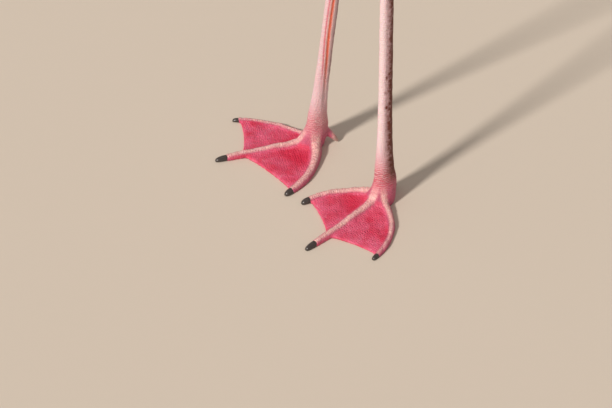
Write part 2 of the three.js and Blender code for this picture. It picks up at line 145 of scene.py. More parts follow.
TOE_HEIGHT = ((0, 10.5), (0.2, 8), (0.6, 6), (1, 5.2))
TOE_GIRTH = {"inner": 1.04, "middle": 1, "outer": 0.78}
CLAW = {"middle": 10.5, "inner": 7.5, "outer": 6}
CLAW_GIRTH = 0.88                   # of the toe's own end
WEB_NOTCH = 2.5
WEB_START = 0.82
WEB_END = 0.995
HIND_TOE_RADIUS = 3.5
HIND_TOE_ROOT = (1.5, 6, 18)        # inward, back, height
HIND_TOE_TIP = (8.5, 18, 1.3)
HIND_CLAW_SHARE = 0.25


# ---- numpy tools ---------------------------------------------------------------------


def smooth(stations, x):
    """Smooth curve through stations: cubic pieces, each station's slope averaged over its neighbours."""
    xs, vs = np.array(stations, float).T[:2]
    last = len(xs) - 1
    low, high = np.maximum(np.arange(last + 1) - 1, 0), np.minimum(np.arange(last + 1) + 1, last)
    slope = (vs[high] - vs[low]) / (xs[high] - xs[low])
    i = np.clip(np.searchsorted(xs, x) - 1, 0, last - 1)
    span = xs[i + 1] - xs[i]
    t = np.clip((x - xs[i]) / span, 0, 1)
    rise = vs[i + 1] - vs[i]
    bend = (slope[i] * span - rise) * (1 - t) + (rise - slope[i + 1] * span) * t
    return vs[i] + rise * t + t * (1 - t) * bend


def column(stations, k):
    """Stations of the k-th value alone."""
    return [(row[0], row[k]) for row in stations]


def ramp(x, start, end):
    """0 before start, 1 after end, with soft shoulders between them."""
    t = np.clip((x - start) / (end - start), 0, 1)
    return t * t * (3 - 2 * t)


def bump(x, centre, width):
    """A bell of height 1 about centre."""
    return np.exp(-(((x - centre) / width) ** 2))


def wander(points, size, seed):
    """Smooth noise between about -1 and 1: a sum of sine waves in random directions, of that size in mm."""
    rng = np.random.default_rng(seed)
    waves = rng.normal(size=(9, 3)) / size
    phase = rng.uniform(0, TAU, 9)
    return np.sin(points @ waves.T * 2 + phase).sum(-1) / 3.2


def path_from(start, slopes, length):
    """Path in the plane x = 0 that starts at (y, z) and turns as the slope stations say, in 1 mm steps.
    Returns a function from distance to (y, z, dorsal y, dorsal z)."""
    angle = np.radians(smooth(slopes, np.arange(length) + 0.5))
    ys = start[0] - np.concatenate([[0], np.cumsum(np.cos(angle))])
    zs = start[1] + np.concatenate([[0], np.cumsum(np.sin(angle))])

    def at(s):
        i = np.clip(np.floor(s).astype(int), 0, length - 1)
        f = s - i
        slope = np.radians(smooth(slopes, s))
        return ys[i] + f * (ys[i + 1] - ys[i]), zs[i] + f * (zs[i + 1] - zs[i]), np.sin(slope), np.cos(slope)

    return at


def beside(place, across, up):
    """Points beside a path: across along X, up along the path's dorsal direction."""
    y, z, dorsal_y, dorsal_z = place
    across, y, z = np.broadcast_arrays(across, y + up * dorsal_y, z + up * dorsal_z)
    return np.stack([across, y, z], -1)


spine = path_from(TAIL_TIP, SPINE_SLOPE, SPINE_LENGTH)
bill_path = path_from(
    [float(v) for v in spine(np.array(float(BILL_START)))[:2]], BILL_SLOPE, BILL_LENGTH + 2
)


def on_body(s, angle, lift):
    """Point of the body's outer surface: an ellipse about the spine, angle 0 on the back, lifted off it."""
    width = np.maximum(smooth(HALF_WIDTH, s) + lift, 0.8)
    height = np.maximum(smooth(HALF_HEIGHT, s) + lift, 0.8)
    return beside(spine(s), width * np.sin(angle), height * np.cos(angle))


def on_carrier(side, s, angle, lift):
    """Point of the body that carries a folded wing, kept clear of the parting on the back."""
    x = np.maximum((smooth(CARRIER_WIDTH, s) + lift) * np.sin(angle), WING_SEAM)
    up = (smooth(CARRIER_HEIGHT, s) + lift) * np.cos(angle) + smooth(CARRIER_LIFT, s)
    return beside(spine(s), side * x, up)


def on_wing(side, s, share, lift):
    """Point of a folded wing's outer surface: share 0 at its upper edge, 1 at its lower edge."""
    top, low = np.radians(smooth(WING_TOP, s)), np.radians(smooth(WING_LOW, s))
    dome = smooth(WING_THICKNESS, s) * np.sin(math.pi * np.clip(share, 0.03, 0.97)) ** WING_EDGE
    return on_carrier(side, s, top + (low - top) * share, dome + lift)


def on_quills(side, s, share, lift):
    """Point of the sheet in which a folded wing's primaries lie, below and behind the wing."""
    top, low = np.radians(smooth(PRIMARY_TOP, s)), np.radians(smooth(PRIMARY_LOW, s))
    return on_carrier(side, s, top + (low - top) * share, smooth(PRIMARY_OUTSIDE, s) + lift)


def on_tail(s, share, lift):
    """Point of the fan of tail feathers inside the coverts: a low vault, share -1 to 1 across it."""
    width = 0.97 * smooth(HALF_WIDTH, s)
    up = 0.5 * np.minimum(smooth(HALF_HEIGHT, s), 16) * np.sqrt(np.maximum(1 - 0.8 * share ** 2, 0.1))
    return beside(spine(s), width * share, up + lift)


def on_thigh(leg, z, angle, lift):
    """Point of a thigh's outer surface: an ellipse about the leg's axis, angle measured from +X."""
    centre = leg_axis(leg, z)
    x = centre[..., 0] + (smooth(column(THIGH_STATIONS, 1), z) + lift) * np.cos(angle)
    y = centre[..., 1] + (smooth(column(THIGH_STATIONS, 2), z) + lift) * np.sin(angle)
    return np.stack(np.broadcast_arrays(x, y, z), -1)


def leg_axis(leg, z):
    """Place (x, y) of a leg's axis at a height: straight from ankle to hock, and from hock to knee."""
    low = (z - ANKLE_HEIGHT) / (HOCK_HEIGHT - ANKLE_HEIGHT)
    high = (z - HOCK_HEIGHT) / (KNEE_HEIGHT - HOCK_HEIGHT)
    ankle, hock, knee = (np.array(leg[k], float) for k in ("ankle", "hock", "knee"))
    low, high = low[..., None], high[..., None]
    return np.where(high < 0, ankle + (hock - ankle) * low, hock + (knee - hock) * high)


def on_ground(leg, points):
    """(outward, forward) of points, mm from the leg's foot."""
    return np.stack([(points[:, 0] - leg["foot"][0]) * leg["side"], leg["foot"][1] - points[:, 1]], -1)


class ToeLine:
    """A toe's line on the ground in (outward, forward) mm from the foot: an arc, measured by its length."""

    def __init__(self, leg, toe):
        turn, length, bow = leg["toes"][toe]
        ahead = np.array([math.sin(math.radians(turn)), math.cos(math.radians(turn))])
        across = np.array([ahead[1], -ahead[0]])
        base = np.array([TOE_BASE_OUT[toe], TOE_BASE_FORWARD])
        middle = (base + length * ahead) / 2 + 2 * bow * across
        k = np.linspace(0, 1, 241)[:, None]
        self.points = (1 - k) ** 2 * base + 2 * k * (1 - k) * middle + k * k * length * ahead
        self.run = np.concatenate([[0], np.cumsum(np.linalg.norm(np.diff(self.points, axis=0), axis=1))])
        self.length = self.run[-1]
        self.claw_start = 1 - CLAW[toe] / self.length
        self.girth = TOE_GIRTH[toe]
        self.leg = leg

    def half_width(self, t):
        """Half the toe's width at a share of its length."""
        return self.girth * smooth(TOE_HALF_WIDTH, t / self.claw_start)

    def height(self, t):
        """The toe's height at a share of its length."""
        return self.girth * smooth(TOE_HEIGHT, t / self.claw_start)

    def at(self, t):
        """(outward, forward) at a share of the length."""
        return np.stack([np.interp(t * self.length, self.run, self.points[:, k]) for k in (0, 1)], -1)

    def across(self, t):
        """Unit vector across the toe, on the ground."""
        ahead = self.at(np.minimum(t + 0.01, 1)) - self.at(np.maximum(t - 0.01, 0))
        ahead /= np.linalg.norm(ahead, axis=-1, keepdims=True)
        return np.stack([ahead[..., 1], -ahead[..., 0]], -1)

    def place(self, p, z):
        """Point in the bird's frame from (outward, forward) and a height."""
        x = self.leg["foot"][0] + self.leg["side"] * p[..., 0]
        return np.stack(np.broadcast_arrays(x, self.leg["foot"][1] - p[..., 1], z), -1)

    def nearest(self, points):
        """Distance on the ground to the line, share along it, and signed offset (outward positive)."""
        local = on_ground(self.leg, points)
        knots = self.points[::4]
        gap = ((local[:, None] - knots[None]) ** 2).sum(-1)
        i = gap.argmin(1)
        share = self.run[::4][i] / self.length
        signed = ((local - knots[i]) * self.across(share)).sum(-1)
        return np.sqrt(gap.min(1)), share, signed


# ---- mesh tools ----------------------------------------------------------------------

NO_TRIS = np.zeros((0, 3), int)


def outward(points, quads, tris):
    """The same faces, turned round if together they enclose a negative volume."""
    corners = np.concatenate([quads[:, [0, 1, 2]], quads[:, [0, 2, 3]], tris])
    a, b, c = (points[corners[:, k]] - points.mean(0) for k in range(3))
    if np.einsum("ij,ij->", a, np.cross(b, c)) < 0:
        return quads[:, ::-1], tris[:, ::-1]
    return quads, tris


def put_mesh(name, points, quads, tris=NO_TRIS, **values):
    """A smooth-shaded mesh object at the origin from points in mm, with float values on its points."""
    quads, tris = outward(points, quads, tris)
    corners = np.concatenate([quads.ravel(), tris.ravel()]).astype(np.int32)
    sizes = np.repeat([4, 3], [len(quads), len(tris)])
    mesh = bpy.data.meshes.new(name)
    mesh.vertices.add(len(points))
    mesh.vertices.foreach_set("co", (points * MM).astype(np.float32).ravel())
    mesh.loops.add(len(corners))
    mesh.polygons.add(len(sizes))
    mesh.polygons.foreach_set("loop_start", (np.cumsum(sizes) - sizes).astype(np.int32))
    mesh.polygons.foreach_set("vertices", corners)
    mesh.update(calc_edges=True)
    mesh.shade_smooth()
    for key, value in values.items():
        set_value(mesh, key, value)
    piece = bpy.data.objects.new(name, mesh)
    bpy.context.scene.collection.objects.link(piece)
    return piece


def set_value(mesh, key, value):
    """A float on each point of the mesh."""
    held = mesh.attributes.get(key) or mesh.attributes.new(key, "FLOAT", "POINT")
    held.data.foreach_set("value", np.asarray(value, np.float32).ravel())


def read_points(mesh, kind="co"):
    """The mesh's points in mm, or its unit normals."""
    data = np.zeros(len(mesh.vertices) * 3, np.float32)
    if kind == "co":
        mesh.vertices.foreach_get("co", data)
        return data.reshape(-1, 3).astype(float) / MM
    mesh.vertex_normals.foreach_get("vector", data)
    return data.reshape(-1, 3).astype(float)


def write_points(mesh, points):
    """Moves the mesh's points to places in mm."""
    mesh.vertices.foreach_set("co", (points * MM).astype(np.float32).ravel())
    mesh.update()


def tube(rings):
    """Closed surface through rings of points (rows, sides, 3), with a fan of triangles closing each end."""
    rows, sides, _ = rings.shape
    index = np.arange(rows * sides).reshape(rows, sides)
    turned = np.roll(index, -1, axis=1)
    quads = np.stack([index[:-1], turned[:-1], turned[1:], index[1:]], -1).reshape(-1, 4)
    first, last = np.full(sides, rows * sides), np.full(sides, rows * sides + 1)
    tris = np.concatenate([
        np.stack([turned[0], index[0], first], -1), np.stack([index[-1], turned[-1], last], -1),
    ])
    ends = np.stack([rings[0].mean(0), rings[-1].mean(0)])
    return np.concatenate([rings.reshape(-1, 3), ends]), quads, tris


def joined(shells):
    """Several (points, quads, tris) as one, each facing outward."""
    points, quads, tris, count = [], [], [], 0
    for shell_points, shell_quads, shell_tris in shells:
        shell_quads, shell_tris = outward(shell_points, shell_quads, shell_tris)
        points.append(shell_points)
        quads.append(shell_quads + count)
        tris.append(shell_tris + count)
        count += len(shell_points)
    return np.concatenate(points), np.concatenate(quads), np.concatenate(tris)


def settle(mesh, rounds, share):
    """Softens a mesh: each round moves every point part of the way to the middle of its neighbours."""
    ends = np.zeros(len(mesh.edges) * 2, np.int32)
    mesh.edges.foreach_get("vertices", ends)
    a, b = ends.reshape(-1, 2).T
    points = read_points(mesh)
    count = np.bincount(a, minlength=len(points)) + np.bincount(b, minlength=len(points))
    for _ in range(rounds):
        total = np.stack([
            np.bincount(a, points[b, k], len(points)) + np.bincount(b, points[a, k], len(points))
            for k in range(3)
        ], -1)
        points = points + share * (total / count[:, None] - points)
    write_points(mesh, points)
    return points


def baked_modifiers(piece):
    """Replaces a piece's mesh by what its modifiers make of it."""
    bpy.context.view_layer.update()
    mesh = bpy.data.meshes.new_from_object(piece.evaluated_get(bpy.context.evaluated_depsgraph_get()))
    piece.modifiers.clear()
    piece.data = mesh
    mesh.shade_smooth()
    return mesh


def hand_over(piece, material, nodes):
    """Gives a finished piece its material, hangs it on its body and hides the imported nodes it stands for.
    """
    piece.data.materials.clear()
    piece.data.materials.append(material)
    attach(piece, "root")
    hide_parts(*nodes)


# ---- colours and finishes ------------------------------------------------------------


def linear(code):
    """Linear RGB from an sRGB hex code."""
    parts = [int(code[k:k + 2], 16) / 255 for k in (0, 2, 4)]
    return [c / 12.92 if c <= 0.04045 else ((c + 0.055) / 1.055) ** 2.4 for c in parts]


def colour(name, description, code):
    """A colour property with an sRGB hex default."""
    return FloatVectorProperty(
        name=name, description=description, default=linear(code), size=3, min=0, max=1, subtype="COLOR",
    )


def millimetres(name, description, default, low, high):
    """A length property, kept in millimetres."""
    return FloatProperty(name=name, description=description, default=default, min=low, max=high)


def degrees(name, description, default):
    """An angle property."""
    return FloatProperty(
        name=name, description=description, default=math.radians(default), unit="ROTATION", subtype="ANGLE",
    )


class FlamingoSkinSettings(bpy.types.PropertyGroup):
    """Bare skin of legs, feet and face."""

    voxel: millimetres("Leg grain", "Mesh size on legs and feet, mm", 1.12, 0.8, 3)
    scute: millimetres("Toe scute", "Length of one scute along a toe, mm", 3.3, 2, 8)
    wrinkle: millimetres("Ankle wrinkle", "Distance between wrinkles at the ankle, mm", 3.1, 2, 8)
    leg: colour("Leg", "Pale pink skin of the legs", "E9CED3")
    leg_deep: colour("Leg, deep", "Pinker skin between the scutes and at the joints", "D0606F")
    # Colour of the legs' painted highlights: fold crests, the ridges beside the groove and the lit side of
    # the left leg.
    leg_highlight: colour("Leg, pale", "Palest lines along the leg and on its folds", "F6E5E5")
    # Colour of the legs' real stains and spots, and of the painted shade down their shadow sides.
    leg_stain_and_shade: colour("Leg, stain", "Brownish mottling along the side of the leg", "6E2C1C")
    stripe: colour("Stripe", "Orange-red line in the groove beside the tendons", "F4602A")
    toe: colour("Toe", "Dusty pink skin of the toes' sides", "CC5C7C")
    # The toe crest colour is a painted highlight on the tops of the toes and of the hind toe.
    crest: colour("Toe, crest", "Paler skin on top of the toes", "FACCC4")
    web: colour("Web", "Crimson pink skin of the webs", "EA567C")
    # Colour of the webs' painted highlights: the crests of their fine lines, and glints.
    web_highlight: colour("Web, pale", "Paler lines across the webs", "F0A3B2")
    web_deep: colour("Web, deep", "Red skin where the webs meet the toes", "D22246")
    face: colour("Face", "Bare pink skin before the eye", "E9A39D")


class FlamingoCoatSettings(bpy.types.PropertyGroup):
    """Feathers."""

    seed: IntProperty(name="Seed", description="Start of the random draws", default=7, min=0)
    pale: colour("Body", "Pinkish white of the body feathers", "F7E9E4")
    blush: colour("Blush", "Deepest pink of the neck, breast and tail coverts", "F2B7AC")
    covert: colour("Wing coverts", "Coral pink of the wing coverts", "EC8680")
    covert_pale: colour("Wing coverts, pale", "Paler pink of the long coverts and scapulars", "F6D2C9")
    flight: colour("Flight feathers", "Brownish black of the flight feathers", "1B1718")
    flight_worn: colour("Flight feathers, worn", "Browner flight feathers", "332B2C")


class FlamingoHornSettings(bpy.types.PropertyGroup):
    """Bill, claws and eyes."""

    bill: colour("Bill", "Pink base of the bill", "EFA49F")
    bill_mottle: colour("Bill, mottled", "Redder patches on the base of the bill", "D98484")
    bill_tip: colour("Bill tip", "Black end of the bill", "161315")
    # The nostril colour is painted shade inside the nostril slits, which the mesh only dents.
    nostril: colour("Nostril", "Dark inside of the nostril slits", "5A2A2B")
    claw: colour("Claw", "Brownish black claws", "241F1E")
    claw_worn: colour("Claw, worn", "Greyer worn places of the claws", "6C625E")
    claw_hind: colour("Hind claw", "Pinkish horn of the small hind claws", "C99C94")
    iris: colour("Iris", "Pale yellow iris", "EFDF86")
    iris_ray: colour("Iris, rays", "Fine amber rays in the iris", "C99A3C")
    iris_rim: colour("Iris, rim", "Dark rim of the iris", "3A241C")
    pupil: colour("Pupil", "Black pupil", "050506")


class FlamingoStageSettings(bpy.types.PropertyGroup):
    """Floor, light and camera."""

    floor: colour("Floor", "Pale warm floor", "D9CDBF")
    floor_deep: colour("Floor, deep", "Slightly deeper patches of the floor", "B9A893")
    key_colour: colour("Key colour", "Warm white of the key light", "FFF8F0")
    fill_colour: colour("Fill colour", "Soft white of the light from all round", "F1ECE6")
    key_direction: degrees("Key direction", "Heading of the key light, from -Y towards +X", 11)
    key_height: degrees("Key height", "Height of the key light above the floor", 36)
    key_power: FloatProperty(name="Key", description="Strength of the key light", default=2.95, min=0)
    fill: FloatProperty(name="Fill", description="Strength of the light from all round", default=0.42, min=0)
    azimuth: degrees("Azimuth", "Heading of the camera, from -Y towards +X", 59.1)
    elevation: degrees("Elevation", "Height of the camera above the floor", 41.4)


def add(tree, kind, inputs=(), out=0, **settings):
    """Adds a node with its settings, sets or links its inputs, in order or by key, and returns one output."""
    node = tree.nodes.new("ShaderNode" + kind)
    for key, value in settings.items():
        setattr(node, key, value)
    for key, value in inputs.items() if isinstance(inputs, dict) else enumerate(inputs):
        socket = node.inputs[key]
        if isinstance(value, bpy.types.NodeSocket):
            tree.links.new(value, socket)
        else:
            socket.default_value = (*value, 1) if socket.type == "RGBA" else value
    return node.outputs[out] if node.outputs else None


def new_material(name):
    """An empty node material, and `add` for its own tree."""
    material = bpy.data.materials.new(name)
    material.use_nodes = True
    material.node_tree.nodes.clear()
    return material, partial(add, material.node_tree)


# Settings that many nodes share. A Mix node's sockets are 0 share, 6 first colour and 7 second colour.
TIMES = {"operation": "MULTIPLY"}
TIMES_PLUS = {"operation": "MULTIPLY_ADD"}
SINE = {"operation": "SINE"}
PAINT = {"out": 2, "data_type": "RGBA", "clamp_factor": True}

FINE_CREASE = 1.9                   # distance between the skin's fine lines, mm
NET_CELL = 1.9                      # cells of the skin's net, drawn coarser than life to show, mm
BARB_PITCH = 0.9                    # distance between barbs, drawn coarser than life to show, mm
LEG_MASKS = ("foot", "web", "crotch", "crest", "joint", "pale", "stain_and_shade", "stripe", "run", "creased")
BODY_MASKS = ("face", "wing", "blush", "bare")
FEATHER_VALUES = ("tip", "tint", "barb", "blush")
IRIS_RAY = 10 / 9                   # size of the iris's rays, mm
IRIS_RIM = (4.1, 5.2)               # where the iris darkens, mm from the eye's axis
PUPIL_EDGE = (1.95, 1.75)
BILL_BLACK = (73.5, 78.5)           # where the bill turns black, mm along it
SKIN_GRAINS = {                     # size of the patches in mm, and detail
    "fine": (1.6, 2), "broad": (14, 2), "bend": (9, 3), "speckle": (3.0, 4), "worn": (3.2, 4), "pale": (4, 3),
    "dark": (5, 3), "glint": (1.1, 4),
}


def bare_skin(skin, coat):
    """Scaled skin of legs, webs and face: satin and a little translucent, with net-like cells, painted shade
    in the creases, the cell grooves and down the legs' shadow sides, and painted highlights on fold crests,
    ridges, toe tops and glints. The part under the coat takes the coat's own colour."""
    material, add = new_material("bare_scaled_skin")
    place = add("TexCoord", out="Object")
    mask = {key: add("Attribute", out="Fac", attribute_name=key) for key in (*LEG_MASKS, *BODY_MASKS)}
    grain = {
        key: add("TexNoise", {"Vector": place, "Scale": 1 / (size * MM), "Detail": detail})
        for key, (size, detail) in SKIN_GRAINS.items()
    }
    cells = add("TexVoronoi", {"Vector": place, "Scale": 1 / (NET_CELL * MM)}, feature="DISTANCE_TO_EDGE")
    net = add("Math", (cells, 3.2), use_clamp=True, **TIMES)
    bent = add("Math", (grain["bend"], 7.0, mask["run"]), **TIMES_PLUS)
    wave = add("Math", (add("Math", (bent, TAU / FINE_CREASE), **TIMES),), **SINE)
    line = add("Math", (wave, mask["creased"]), **TIMES)
    # painted highlight on the crests of the fine folds and painted shade in the creases between them
    crease_highlight, crease_shade = (add("Math", (line, share), use_clamp=True, **TIMES) for share in (0.5, -0.45))
    speckle = add("Math", (grain["speckle"], 1.45), **TIMES)
    # patches of the painted highlight on the toe tops
    worn = add("Math", (grain["worn"], 1.1, 0.3), **TIMES_PLUS)
    # the stain share below carries painted shade on the legs' shadow sides as well as real stains
    faint, stain_and_shade, crest, web_highlight, web_crease_shade = (add("Math", pair, **TIMES) for pair in (
        (grain["fine"], 0.25), (mask["stain_and_shade"], speckle), (mask["crest"], worn), (crease_highlight, grain["pale"]),
        (crease_shade, grain["dark"]),
    ))
    # painted shade: the webs turn darker and duller in the grooves between the net's raised cells
    cell_groove_shade = add("Math", (net, -0.4, 0.4), **TIMES_PLUS)
    glint = add("MapRange", {0: grain["glint"], 1: 0.57, 2: 0.7, 4: 0.85})
    blotch = add("MapRange", {0: grain["broad"], 1: 0.42, 2: 0.66, 4: 0.75})
    painted = {}
    for name, base, layers in (     # each layer is a share and a colour, or the name of a painted one
        ("leg", skin.leg, (
            (mask["joint"], skin.leg_deep), (faint, skin.leg_deep), (crease_highlight, skin.leg_highlight),
            (mask["pale"], skin.leg_highlight), (crease_shade, skin.leg_deep), (stain_and_shade, skin.leg_stain_and_shade),
            (mask["stripe"], skin.stripe),
        )),
        ("toe", skin.toe, ((crest, skin.crest), (crease_shade, skin.toe))),
        ("web", skin.web, (
            (cell_groove_shade, skin.toe), (web_highlight, skin.web_highlight),
            (glint, skin.web_highlight), (web_crease_shade, skin.toe),
            (blotch, skin.web_deep), (mask["crotch"], skin.web_deep),
        )),
        ("foot", "toe", ((mask["web"], "web"),)),
        ("bare", "leg", ((mask["foot"], "foot"), (mask["face"], skin.face))),
        ("down", coat.pale, ((mask["blush"], coat.blush), (mask["wing"], coat.covert))),
        ("all", "down", ((mask["bare"], "bare"),)),
    ):
        tone = painted[base] if isinstance(base, str) else base
        for share, layer in layers:
            over = painted[layer] if isinstance(layer, str) else layer
            tone = add("Mix", {0: share, 6: tone, 7: over}, **PAINT)
        painted[name] = tone
    relief = add("Bump", {"Height": net, "Distance": 0.4 * MM, "Strength": 0.8})
    for height, distance, strength in ((line, 0.2, 0.6), (grain["fine"], 0.45, 0.5)):
        relief = add("Bump", {
            "Height": height, "Distance": distance * MM, "Strength": strength, "Normal": relief,
        })
    surface = add("BsdfPrincipled", {
        "Base Color": painted["all"], "Normal": relief, "Roughness": 0.46, "IOR": 1.42,
        "Subsurface Weight": 0.12, "Subsurface Scale": 2.0 * MM,
    })
    add("OutputMaterial", (surface,))
    return material


def plumage(name, pale, deep, roughness, sheen):
    """Vanes of feathers: matt and soft, from a pale colour to a deep one by the value `blush`, darker towards
    the root as painted shade where the feathers overlap, partly also paler tips, each feather a little
    lighter or darker, with fine barbs."""
    material, add = new_material(name)
    tip, tint, run, blush = (add("Attribute", out="Fac", attribute_name=key) for key in FEATHER_VALUES)
    base = add("Mix", {0: blush, 6: pale, 7: deep}, **PAINT)
    barb = add("Math", (add("Math", (run, TAU / BARB_PITCH), **TIMES),), **SINE)
    light = add("Math", (barb, 0.02, tint), **TIMES_PLUS)
    # painted shade: darker and more saturated towards the root, where the feathers lie under one another;
    # partly also paler feather tips
    light = add("Math", (tip, 0.3, light), **TIMES_PLUS)
    light = add("Math", (light, 0.7), operation="ADD")
    deeper = add("Math", (tip, -0.35, 1.35), **TIMES_PLUS)
    shaded = add("HueSaturation", {"Color": base, "Value": light, "Saturation": deeper})
    surface = add("BsdfPrincipled", {
        "Base Color": shaded, "Normal": add("Bump", {"Height": barb, "Distance": 0.05 * MM, "Strength": 0.4}),
        "Roughness": roughness, "IOR": 1.45, "Sheen Weight": sheen, "Sheen Roughness": 0.4,
    })
    add("OutputMaterial", (surface,))
    return material


def bill_keratin(horn):
    """Keratin of the bill: satin, pink at the base, black beyond the bend, with faint growth lines."""
    material, add = new_material("bill_keratin")
    place = add("TexCoord", out="Object")
    long = add("Mapping", {"Vector": place, "Scale": (1, 0.3, 1)})
    wave, mottle, fine = (
        add("TexNoise", {"Vector": spot, "Scale": 1 / (size * MM), "Detail": detail})
        for spot, size, detail in ((place, 9, 2), (place, 5, 4), (long, 1.2, 3))
    )
    along, nostril = (add("Attribute", out="Fac", attribute_name=key) for key in ("along", "nostril"))
    edge = add("Math", (wave, 9.0, along), **TIMES_PLUS)
    black = add("MapRange", {0: edge, 1: BILL_BLACK[0], 2: BILL_BLACK[1]})
    base = horn.bill
    for share, tone in (
        (add("Math", (mottle, 0.4), **TIMES), horn.bill_mottle),
        (black, horn.bill_tip),
        # painted shade in the nostril slits
        (nostril, horn.nostril),
    ):
        base = add("Mix", {0: share, 6: base, 7: tone}, **PAINT)
    relief = add("Bump", {"Height": fine, "Distance": 0.15 * MM, "Strength": 0.4})
    surface = add("BsdfPrincipled", {"Base Color": base, "Normal": relief, "Roughness": 0.36, "IOR": 1.54})
    add("OutputMaterial", (surface,))
    return material


def claw_keratin(name, fresh, worn):
    """Keratin of the claws: hard satin horn, a little paler where it is worn."""
    material, add = new_material(name)
    place = add("TexCoord", out="Object")
    long = add("Mapping", {"Vector": place, "Scale": (1, 1, 0.5)})
    patches, fine = (
        add("TexNoise", {"Vector": spot, "Scale": 1 / (size * MM), "Detail": detail})
        for spot, size, detail in ((long, 2.2, 4), (place, 0.8, 3))
    )
    base = add("Mix", {0: add("Math", (patches, 0.5), **TIMES), 6: fresh, 7: worn}, **PAINT)
    relief = add("Bump", {"Height": fine, "Distance": 0.1 * MM, "Strength": 0.4})
    surface = add("BsdfPrincipled", {"Base Color": base, "Normal": relief, "Roughness": 0.3, "IOR": 1.54})
    add("OutputMaterial", (surface,))
    return material


def eye_surface(horn):
    """Wet eye: glossy, with a pale yellow iris of fine rays, a darker rim and a black pupil. `radius` is
    the distance from the eye's axis in mm."""
    material, add = new_material("wet_eye")
    radius = add("Attribute", out="Fac", attribute_name="radius")
    place = add("TexCoord", out="Object")
    rays = add("TexNoise", {"Vector": place, "Scale": 1 / (IRIS_RAY * MM), "Detail": 3.0})
    base = horn.iris
    for share, tone in (
        (add("Math", (rays, 0.5), **TIMES), horn.iris_ray),
        (add("MapRange", {0: radius, 1: IRIS_RIM[0], 2: IRIS_RIM[1]}), horn.iris_rim),
        (add("MapRange", {0: radius, 1: PUPIL_EDGE[0], 2: PUPIL_EDGE[1]}), horn.pupil),
    ):
        base = add("Mix", {0: share, 6: base, 7: tone}, **PAINT)
    surface = add("BsdfPrincipled", {"Base Color": base, "Roughness": 0.06, "IOR": 1.38, "Coat Weight": 0.6})
    add("OutputMaterial", (surface,))
    return material


def floor_surface(stage):
    """Plain matt floor of a studio: pale and warm, nearly even."""
    material, add = new_material("matt_floor")
    broad = add("TexNoise", {"Vector": add("TexCoord", out="Object"), "Scale": 1 / (400 * MM), "Detail": 2.0})
    base = add("Mix", {0: add("Math", (broad, 0.06), **TIMES), 6: stage.floor, 7: stage.floor_deep}, **PAINT)
    add("OutputMaterial", (add("BsdfPrincipled", {"Base Color": base, "Roughness": 0.9}),))
    return material


# ---- legs and feet -------------------------------------------------------------------

LEG_SIDES = 44
FINE_TOP = 514                      # top of the finely meshed bare leg, inside the thigh feathers


def leg_rings(leg, heights):
    """Ellipses about the leg's axis at each height, their half axes and forward shift from the stations."""
    angle = TAU * np.arange(LEG_SIDES) / LEG_SIDES
    axis = leg_axis(leg, heights)
    width, depth, forward = (smooth(column(LEG_STATIONS, k), heights)[:, None] for k in (1, 2, 3))
    x = axis[:, :1] + width * np.cos(angle)
    y = axis[:, 1:] - forward + depth * np.sin(angle)
    return np.stack([x, y, np.broadcast_to(heights[:, None], x.shape)], -1)


def arched_loft(line, t, width, height, turns, sole, spring, power):
    """Loft along a toe. Its section is an arch, height (spring + (1 - spring) sin(a)^power), over a flat sole
    that takes `sole`, its share of the width and of the height above the floor."""
    arch = np.linspace(0, math.pi, turns)
    sides = np.concatenate([np.cos(arch), [-sole[0], sole[0]]]) * width[:, None]
    rise = spring + (1 - spring) * np.sin(arch) ** power
    heights = np.concatenate([rise, [sole[1], sole[1]]]) * height[:, None]
    spots = line.at(t)[:, None] + line.across(t)[:, None] * sides[..., None]
    return tube(line.place(spots, heights))


def toe_shell(line, toe):
    """Loft along a toe, swelling a little between its joints."""
    t = np.linspace(0, line.claw_start + 0.01, 60)
    share = t / t[-1]
    joints = {"middle": 3, "inner": 2, "outer": 3}[toe]
    swell = 1 + 0.05 * np.sin(TAU * joints * share - 1)
    return arched_loft(line, t, line.half_width(t) * swell, line.height(t) * swell, 17, (0.72, 0), 0.14, 0.75)


def claw_shell(line):
    """Blunt loft that carries a toe on to its end, a little thinner than the toe."""
    k = np.linspace(0, 1, 18)
    taper = np.sqrt(1 - 0.985 * k ** 2.4)
    width = 1.0 + (CLAW_GIRTH * line.half_width(1.0) - 1.2) * taper
    height = 1.2 + (CLAW_GIRTH * line.height(1.0) - 1.3) * taper
    t = line.claw_start + (1 - line.claw_start) * k
    return arched_loft(line, t, width, height, 15, (0.6, 0.05), 0.2, 0.8)


def slab(top, bottom):
    """Closed plate between two grids of points, with walls all round."""
    rows, cols, _ = top.shape
    index = np.arange(rows * cols).reshape(rows, cols)
    faces = np.stack([index[:-1, :-1], index[1:, :-1], index[1:, 1:], index[:-1, 1:]], -1).reshape(-1, 4)
    rim = np.concatenate([index[0, :-1], index[:-1, -1], index[-1, :0:-1], index[:0:-1, 0]])
    ahead = np.roll(rim, -1)
    walls = np.stack([rim, ahead, ahead + rows * cols, rim + rows * cols], -1)
    quads = np.concatenate([faces, faces[:, ::-1] + rows * cols, walls])
    return np.concatenate([top.reshape(-1, 3), bottom.reshape(-1, 3)]), quads, NO_TRIS


